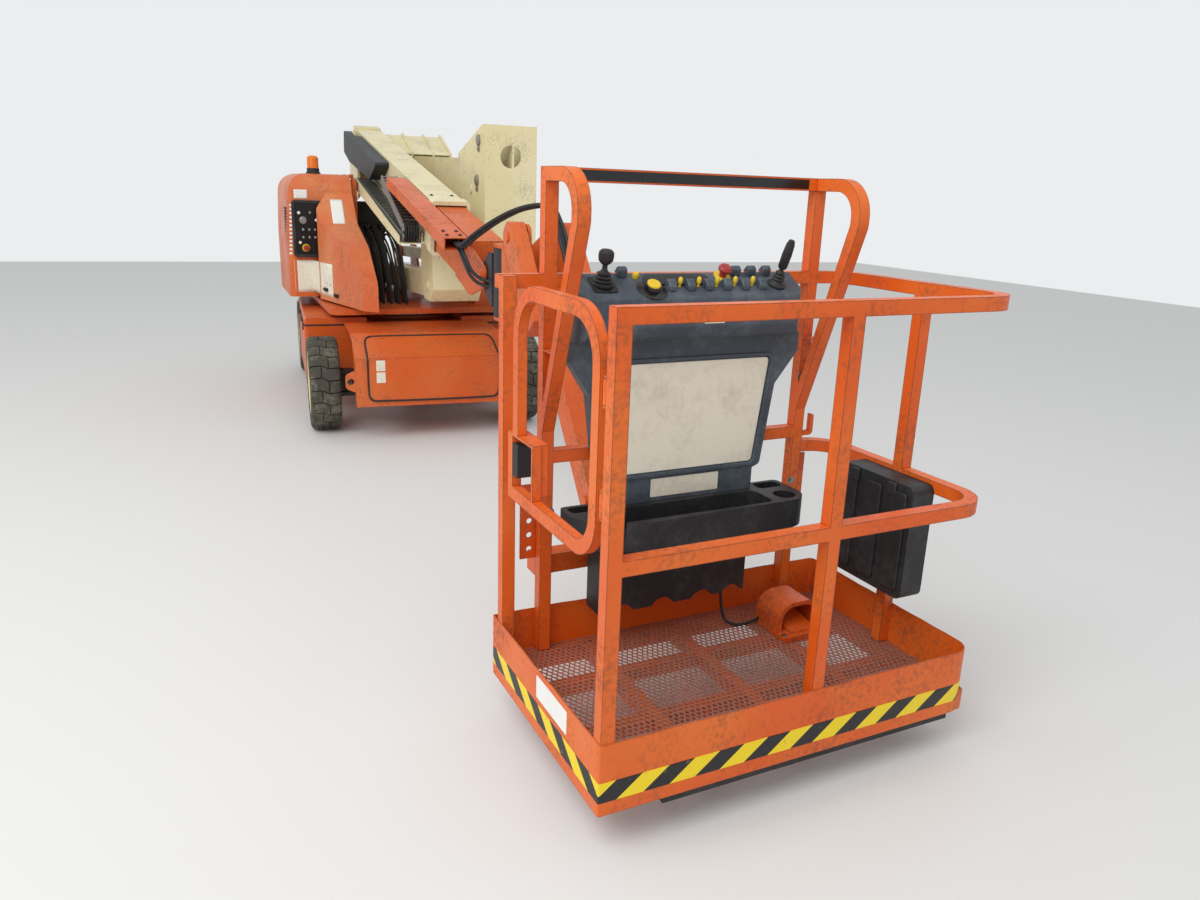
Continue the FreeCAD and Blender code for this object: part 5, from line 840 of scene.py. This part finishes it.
edge_line = [(NOSE + 7, 340, 262), (NOSE + 7, 395, 266), (NOSE + 7, 409, 300), (NOSE + 7, 410, 400),
             (NOSE + 7, 410, 515), (NOSE + 4, 410, 530), on_slope(60, 410), on_slope(190, 409), on_slope(228, 385),
             on_slope(236, 350)]
other_side = [(x, -y, z) for x, y, z in edge_line]
seal = make_hose("hatch_edging", [(NOSE + 7, -100, 260), (NOSE + 7, 100, 260)] + edge_line + other_side[::-1]
                 + [(NOSE + 7, -100, 260)], CHASSIS, 6, hose_rubber, "chassis")
plates = bmesh.new()
for low in (376, 450):
    add_prism(plates, rectangle(-360, low, -306, low + 66, 4), NOSE + 6, NOSE + 8, "YZ")
make_piece("blank_plates_cover", plates, CHASSIS, vinyl, "chassis")

# %% Lids of the side boxes
lids = bmesh.new()
for side in (-1, 1):
    edges = sorted((408 * side, 748 * side))
    outline = rectangle(-644, edges[0], 616, edges[1], 6)
    inside = rectangle(-636, edges[0] + 8, 608, edges[1] - 8, 6)
    add_ring(lids, outline, inside, 612, 622)
    for x in (-420, 0, 420):
        add_prism(lids, rectangle(x - 22, 560, x + 22, 640, 8), *sorted((744 * side, 753 * side)), "XZ")
make_piece("box_lid_seams", lids, CHASSIS, black_polyethylene, "chassis", 1)

# %% [markdown]
# ## Ground controls, louvres and signs of the hood
# The panel at the hood's front is a black moulded frame round a gloss plate, with an hour meter,
# a key switch, toggles and a red stop button. The louvres beside it are pressed slots.

# %% Panel
LEFT, RIGHT, LOW, HIGH = -775, -559, 1030, 1426
bezel = bmesh.new()
add_ring(bezel, rectangle(LEFT, LOW, RIGHT, HIGH, 26), rectangle(LEFT + 20, LOW + 20, RIGHT - 20, HIGH - 20, 14),
         20, 32, "YZ")
make_piece("panel_bezel", bezel, MACHINE, black_polyethylene, "hood", 2)
dark = bmesh.new()
add_prism(dark, rectangle(LEFT + 20, LOW + 20, RIGHT - 20, HIGH - 20), 21, 24, "YZ")
make_piece("panel_plate", dark, MACHINE, gloss_black, "hood")


def on_panel(y, z):
    """A place on the panel that faces forward."""
    return Matrix.Translation((23.5, y, z)) @ to_operator


dials = bmesh.new()
add_turned(dials, [(25, 0), (26, 5), (22, 7), (20, 4), (0, 4)], on_panel(-700, 1287))
for y, z in ((-703, 1222), (-660, 1222), (-703, 1168), (-660, 1168), (-620, 1222), (-620, 1168), (-650, 1340)):
    add_turned(dials, [(9, 0), (9, 4), (5, 6), (4, 6), (4, 17), (2, 20), (0, 20)], on_panel(y, z), 12)
make_piece("panel_toggles", dials, MACHINE, plain_steel, "hood")
lamps = bmesh.new()
for y, z in ((-728, 1339), (-728, 1132), (-610, 1290)):
    add_turned(lamps, [(11, 0), (11, 5), (8, 9), (0, 11)], on_panel(y, z), 16)
make_piece("panel_caps", lamps, MACHINE, white_vinyl, "hood")
yellow = bmesh.new()
add_turned(yellow, [(27, 0), (27, 3), (0, 3)], on_panel(-690, 1096))
make_piece("panel_stop_ring", yellow, MACHINE, yellow_abs, "hood")
red = bmesh.new()
add_turned(red, [(11, 2), (11, 18), (20, 20), (21, 28), (15, 34), (0, 36)], on_panel(-690, 1096))
make_piece("panel_stop_button", red, MACHINE, red_abs, "hood")

# %% Louvres, latches and films
slots = bmesh.new()
for step in range(14):
    z = 1100 + step * 20
    add_prism(slots, rounded([(-812.8, z), (-804, z), (-804, z + 13), (-808, z + 13)]), -196, -72, "YZ")
make_piece("louvre_slots", slots, MACHINE, black_polyethylene, "hood", 1)
FORWARD = (-1, 0, 0)
ASIDE = (0, 1, 0)
lay_film("blank_film_hood_low", "hood", MACHINE, [(0, -775, 778)], (0, 215, 0), (0, 0, 228), FORWARD, vinyl, "hood")
lay_film("blank_film_hood_high", "hood", MACHINE, [(0, -752, 1436)], (0, 92, 0), (0, 0, 62), FORWARD, white_vinyl,
         "hood")
lay_film("blank_film_cowl_slope", "hood", MACHINE, [(48, -512, 1500)], (0, 84, 0), (168, -6, 0), (0, 0, -1),
         white_vinyl, "hood", 10)
lay_film("blank_films_cowl_side", "hood", MACHINE, [(240, -700, 868), (306, -700, 858)], (46, 0, -3), (-4, 0, 88),
         ASIDE, vinyl, "hood")
grille = [(0, -802 + step * 1.4, 1046 + step * 28) for step in range(13)]
lay_film("grille_bars", "hood", MACHINE, grille, (0, 19, 0), (0, 0, 15), FORWARD, white_vinyl, "hood", 3)
latches = bmesh.new()
for x, z in ((250, 822), (430, 798)):
    spot, facing = touch("hood", MACHINE @ Vector((x, -900, z)), Vector((0, 1, 0)))
    spot = MACHINE.inverted() @ spot
    for reach in (-26, 26):
        add_prism(latches, rectangle(spot.x + reach - 10, z - 12, spot.x + reach + 10, z + 12, 5), spot.y - 14, spot.y + 8, "XZ")
    add_prism(latches, rectangle(spot.x - 30, z - 7, spot.x + 30, z + 7, 4), spot.y - 20, spot.y - 8, "XZ")
make_piece("rubber_latches", latches, MACHINE, hose_rubber, "hood", 2)

# %% Beacon
LAMP = Matrix.Translation((-190, -590, 1610))
foot = bmesh.new()
add_turned(foot, [(52, 0), (52, 8), (44, 14), (44, 34), (40, 39), (0, 39)], LAMP, 32)
base = make_piece("beacon_foot", foot, MACHINE, black_polyethylene, "hood")
dome = bmesh.new()
ribs = [(39 + (1.6 if step % 2 else 0), 38 + step * 3.4) for step in range(22)]
add_turned(dome, ribs + [(36, 116), (28, 124), (0, 129)], LAMP, 32)
lens = make_piece("beacon_lens", dome, MACHINE, amber_lens, "hood")
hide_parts("beacon")

# %% [markdown]
# ## Power track
# Hoses can't slide, so a chain of links carries them: it lies in a tray, folds over at the front
# and climbs back to the cable tube. Each link has two side plates and a bar over and under the
# hoses. The links stand at equal steps along one line of straight runs and an arc.

# %% Links, bars and hoses of the track
TRACK_Y = -182
BEND_X, BEND_Z, BEND = 2533, -108, 38
LINK = 58


def track_route(bulge):
    """The track's middle line, which swings wider by a bulge where it folds over."""
    reach = BEND + bulge
    line = [Vector((912, BEND_Z - BEND)), Vector((BEND_X - 60, BEND_Z - BEND)), Vector((BEND_X, BEND_Z - reach))]
    for turn in range(-70, 80, 20):
        angle = math.radians(turn)
        line.append(Vector((BEND_X + reach * math.cos(angle), BEND_Z + reach * math.sin(angle))))
    return line + [Vector((1856, 68))]




def walk(line, step):
    """Points at equal steps along a line, with the way that it runs there."""
    spots = []
    left = 0.0
    for one, two in zip(line, line[1:]):
        length = (two - one).length
        way = (two - one).normalized()
        while left < length:
            spots.append((one + way * left, way))
            left += step
        left -= length
    return spots


links = bmesh.new()
bars = bmesh.new()
for spot, way in walk(track_route(0), 46):
    across = Vector((-way.y, way.x))
    tall = LINK / 2 - 1
    plate = [spot + way * a + across * b for a, b in
             ((-21, -tall), (21, -tall), (24, -tall + 8), (24, tall - 8), (21, tall), (-21, tall),
              (-24, tall - 8), (-24, -tall + 8))]
    for y in (TRACK_Y - 52, TRACK_Y + 45):
        add_prism(links, plate, y, y + 7, "XZ")
    if abs(way.x) < 0.8:
        continue
    for lift in (-tall + 3, tall - 3):
        middle = spot + across * lift
        bar = [middle + way * a + across * b for a, b in ((-5, -3), (5, -3), (5, 3), (-5, 3))]
        add_prism(bars, bar, TRACK_Y - 46, TRACK_Y + 46, "XZ")
chain = make_piece("track_links", links, BOOM, zinc_plate, "boom")
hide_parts("power_track")
make_piece("track_bars", bars, BOOM, plain_steel, "boom")
for y in (-34, -17, 0, 17, 34):
    route = [(x, TRACK_Y + y, z) for x, z in track_route(17)]
    make_hose(f"track_hose_{y + 34}", route, BOOM, 7.5, hose_rubber, "boom")

# %% [markdown]
# ## Hoses at the boom's nose
# The hoses leave the cable tube's open end in a bundle. Some dive to the swing actuator, others
# arch over it to the jib. A hose that spans a joint is made a fixed mesh that rides on no body.

# %% Nose hoses
# Each row is a hose's place in the bundle, sideways and upwards
BUNDLE = ((0, 0), (15, 7), (-14, 9), (3, 18), (-2, -14))
TUBE_FLOOR = 1276


def over_arm(x, y, lift):
    """A point that lies some millimetres over the jib arm's upper face."""
    point, normal = touch("jib_arm", MACHINE @ Vector((x, y, 2000)), Vector((0, 0, -1)))
    return MACHINE.inverted() @ (point + normal * lift / 1000)


for i, (aside, above) in enumerate(BUNDLE):
    y, z = -206 + aside, TUBE_FLOOR + above * 0.8
    start = [(2380, y, z + 8), (2440, y, z - 2)]
    lift = [(2520, y - 4, z - 6), (2580, y + 2, z + 16), (2640, y + 22, z + 50)]
    sink = [(2505, y - 6, z - 24), (2560, y, z - 70), (2592, y + 18, z - 130), (2620, y + 60, z - 166),
            (2650, -100, z - 176)]
    upward = i < 3
    hose = make_hose(f"nose_hose_{i}", start + (lift if upward else sink), MACHINE, 8.5, hose_rubber, None)
    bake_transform(hose)
    if not upward:
        continue
    over = [lift[-1], (2720, -140 + aside, z + 104), (2840, -70 + aside, z + 168), (2960, -15 + aside, z + 205),
            (3050, 10 + aside, z + 212)]
    crossing = make_hose(f"swing_hose_{i}", over, MACHINE, 8.5, hose_rubber, None)
    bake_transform(crossing)
    down = [over[-1], (3150, 15 + aside, z + 212), (3250, 16 + aside, z + 140)]
    down += [(3340, 16 + aside, 1310 + above), (3430, 16 + aside, 1190 + above), over_arm(3510, 16 + aside, 12)]
    bend = make_hose(f"jib_bend_hose_{i}", down, MACHINE, 8.5, hose_rubber, None)
    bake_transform(bend)
    along_arm = [over_arm(x, 16 + aside, 12) for x in (3510, 3600, 3720, 3830)]
    along_arm.append(over_arm(3860, 16 + aside, -10))
    make_hose(f"jib_hose_{i}", along_arm, MACHINE, 8.5, hose_rubber, "jib")

# %% [markdown]
# ## The dark bay under the boom
# Between the hood and the risers stands a black sheet, painted shade for the dark space under the
# boom, with the valve block and its hoses. The hoses leave fittings on the block in a row and hang
# down to the deck in slack curves.

# %% Valve block and its hoses
bay = bmesh.new()
# The black sheet is painted shade: it stands in for the shaded space under the boom behind the valve block
add_prism(bay, rounded([(-322, 735, 0), (-42, 735, 0), (-42, 1350, 10), (-100, 1362, 20), (-160, 1420, 30), (-322, 1420, 20)]),
          -470, -462, "YZ")
add_prism(bay, rectangle(-302, 1150, -58, 1250, 6), -462, -330, "YZ")
add_prism(bay, rectangle(-322, 735, -42, 760), -462, -400, "YZ")
make_piece("valve_block_and_shade_sheet", bay, MACHINE, black_enamel, "turntable", 2)
fittings = bmesh.new()
to_front = Matrix.Rotation(math.radians(90), 4, "Y")
for row in range(3):
    for column in range(5):
        spot = Matrix.Translation((-332, -280 + column * 50, 1168 + row * 32)) @ to_front
        add_turned(fittings, [(11, 0), (11, 10), (8, 12), (8, 26), (0, 26)], spot, 8)
make_piece("valve_fittings", fittings, MACHINE, zinc_plate, "turntable")
slack = random.Random(7)
for row in range(3):
    for column in range(5):
        y, z = -280 + column * 50, 1168 + row * 32
        loose = slack.uniform(-25, 25)
        end = 200 + 70 * row + 20 * column
        route = [(-310, y, z), (-250, y, z + 4), (-90, y - 6, z + 30 + loose), (end - 160, y + 8, z - 60 + loose),
                 (end, y + 14, 940 + loose), (end + 26, y + 16, 800), (end + 28, y + 16, 726)]
        make_hose(f"bay_hose_{row}_{column}", route, MACHINE, 7.5, hose_rubber, "turntable")

# %% [markdown]
# ## Bolts and pin caps
# Four bolts hold the wear pads on each boom's top, and two pins of the middle upright end in a round
# cap with a keeper plate, bolted so that the pin can't turn or creep out.

# %% Bolts of the booms and caps of the pins


def add_seated(mesh, node, place, spot, heading, add):
    """Stands a small part on a node where a line along a heading meets it."""
    aim = (place.to_3x3() @ Vector(heading)).normalized()
    point, normal = touch(node, place @ Vector(spot) - aim * LOOK_FROM, aim)
    stand = Matrix.Translation(point) @ normal.to_track_quat("Z", "Y").to_matrix().to_4x4()
    add(mesh, stand @ Matrix.Scale(0.001, 4))


def add_pin_cap(mesh, stand):
    add_turned(mesh, [(0, -2), (34, -2), (34, 10), (28, 14), (0, 14)], stand, 24)
    add_prism_at = bmesh.new()
    add_prism(add_prism_at, rectangle(-16, -70, 16, 10, 10), -1, 6)
    add_prism_at.transform(stand)
    copy = bpy.data.meshes.new("keeper")
    add_prism_at.to_mesh(copy)
    add_prism_at.free()
    mesh.from_mesh(copy)
    bpy.data.meshes.remove(copy)
    add_bolt(mesh, stand @ Matrix.Translation((0, -52, 6)), 14)


DOWN = (0, 0, -1)
top_bolts = bmesh.new()
for x in (2560, 2680):
    for y in (-62, 62):
        add_seated(top_bolts, "main_boom", BOOM, (x, y, 0), DOWN, lambda mesh, stand: add_bolt(mesh, stand, 13))
make_piece("boom_top_bolts", top_bolts, Matrix(), black_enamel, "boom")
tube_bolts = bmesh.new()
for x in (3470, 3550):
    for y in (-216, -148):
        add_seated(tube_bolts, "cable_tube", BOOM, (x, y, 0), DOWN, lambda mesh, stand: add_bolt(mesh, stand, 13))
make_piece("tube_top_bolts", tube_bolts, Matrix(), black_enamel, "fly")
caps = bmesh.new()
for x, z in ((1190, 1840), (1150, 1600)):
    add_seated(caps, "middle_upright", MACHINE, (x, 0, z), ASIDE, add_pin_cap)
make_piece("upright_pin_caps", caps, Matrix(), plain_steel, "middle_upright")

# The white strip down the swing actuator's black face, laid on as a film, is a painted highlight: the sky's glint on
# its curved face
lay_film("actuator_painted_highlight", "swing_actuator", MACHINE, [(2850, -82, 1080)], (0, 44, 0), (0, 0, 120), FORWARD,
         white_vinyl, "level_head")

# %% Gate's latch
latch = bmesh.new()
add_prism(latch, rectangle(436, 684, 482, 778, 6), -605, -562, "XZ")
make_piece("gate_latch_cover", latch, PLATFORM, black_polyethylene, "gate", 2)
# %% [markdown]
# ## Floor and light
# A pale floor and a bright even world stand in for a photographer's cove. One large soft lamp
# from the camera's left gives the shadows a side, as the overcast sky does in the photograph.

# %% Floor, world and lamp
floor_mesh = bpy.data.meshes.new("studio_floor")
floor_mesh.from_pydata([(-14, -14, 0), (14, -14, 0), (14, 14, 0), (-14, 14, 0)], [], [(0, 1, 2, 3)])
floor = bpy.data.objects.new("studio_floor", floor_mesh)
bpy.context.collection.objects.link(floor)
floor_finish, floor_tree, floor_shader, floor_where = start_material("pale_studio_floor", 0.8)
floor_shader.inputs["Base Color"].default_value = linear("#dcdcda")
floor_mesh.materials.append(floor_finish)

world = bpy.data.worlds.new("studio")
bpy.context.scene.world = world
world.use_nodes = True
world_tree = world.node_tree
background = world_tree.nodes["Background"]
path = add_node(world_tree, "ShaderNodeLightPath")
seen = add_node(world_tree, "ShaderNodeMath", {"operation": "MAXIMUM"}, {
    0: path.outputs["Is Camera Ray"], 1: path.outputs["Is Glossy Ray"]})
strength = add_node(world_tree, "ShaderNodeMapRange", inputs={
    "Value": seen.outputs["Value"], "To Min": 0.75, "To Max": 0.92})
background.inputs["Color"].default_value = linear("#f4f6f8")
world_tree.links.new(strength.outputs["Result"], background.inputs["Strength"])

lamp_data = bpy.data.lights.new("sky_panel", "AREA")
lamp_data.shape = "RECTANGLE"
lamp_data.size = 7
lamp_data.size_y = 5
lamp_data.energy = 420
lamp = bpy.data.objects.new("sky_panel", lamp_data)
lamp.location = (4.5, -4.5, 6.5)
aim = Vector((1.0, 0, 0.8)) - lamp.location
lamp.rotation_euler = aim.to_track_quat("-Z", "Y").to_euler()
bpy.context.collection.objects.link(lamp)
bpy.context.scene.view_settings.view_transform = "Standard"
print("stage set")
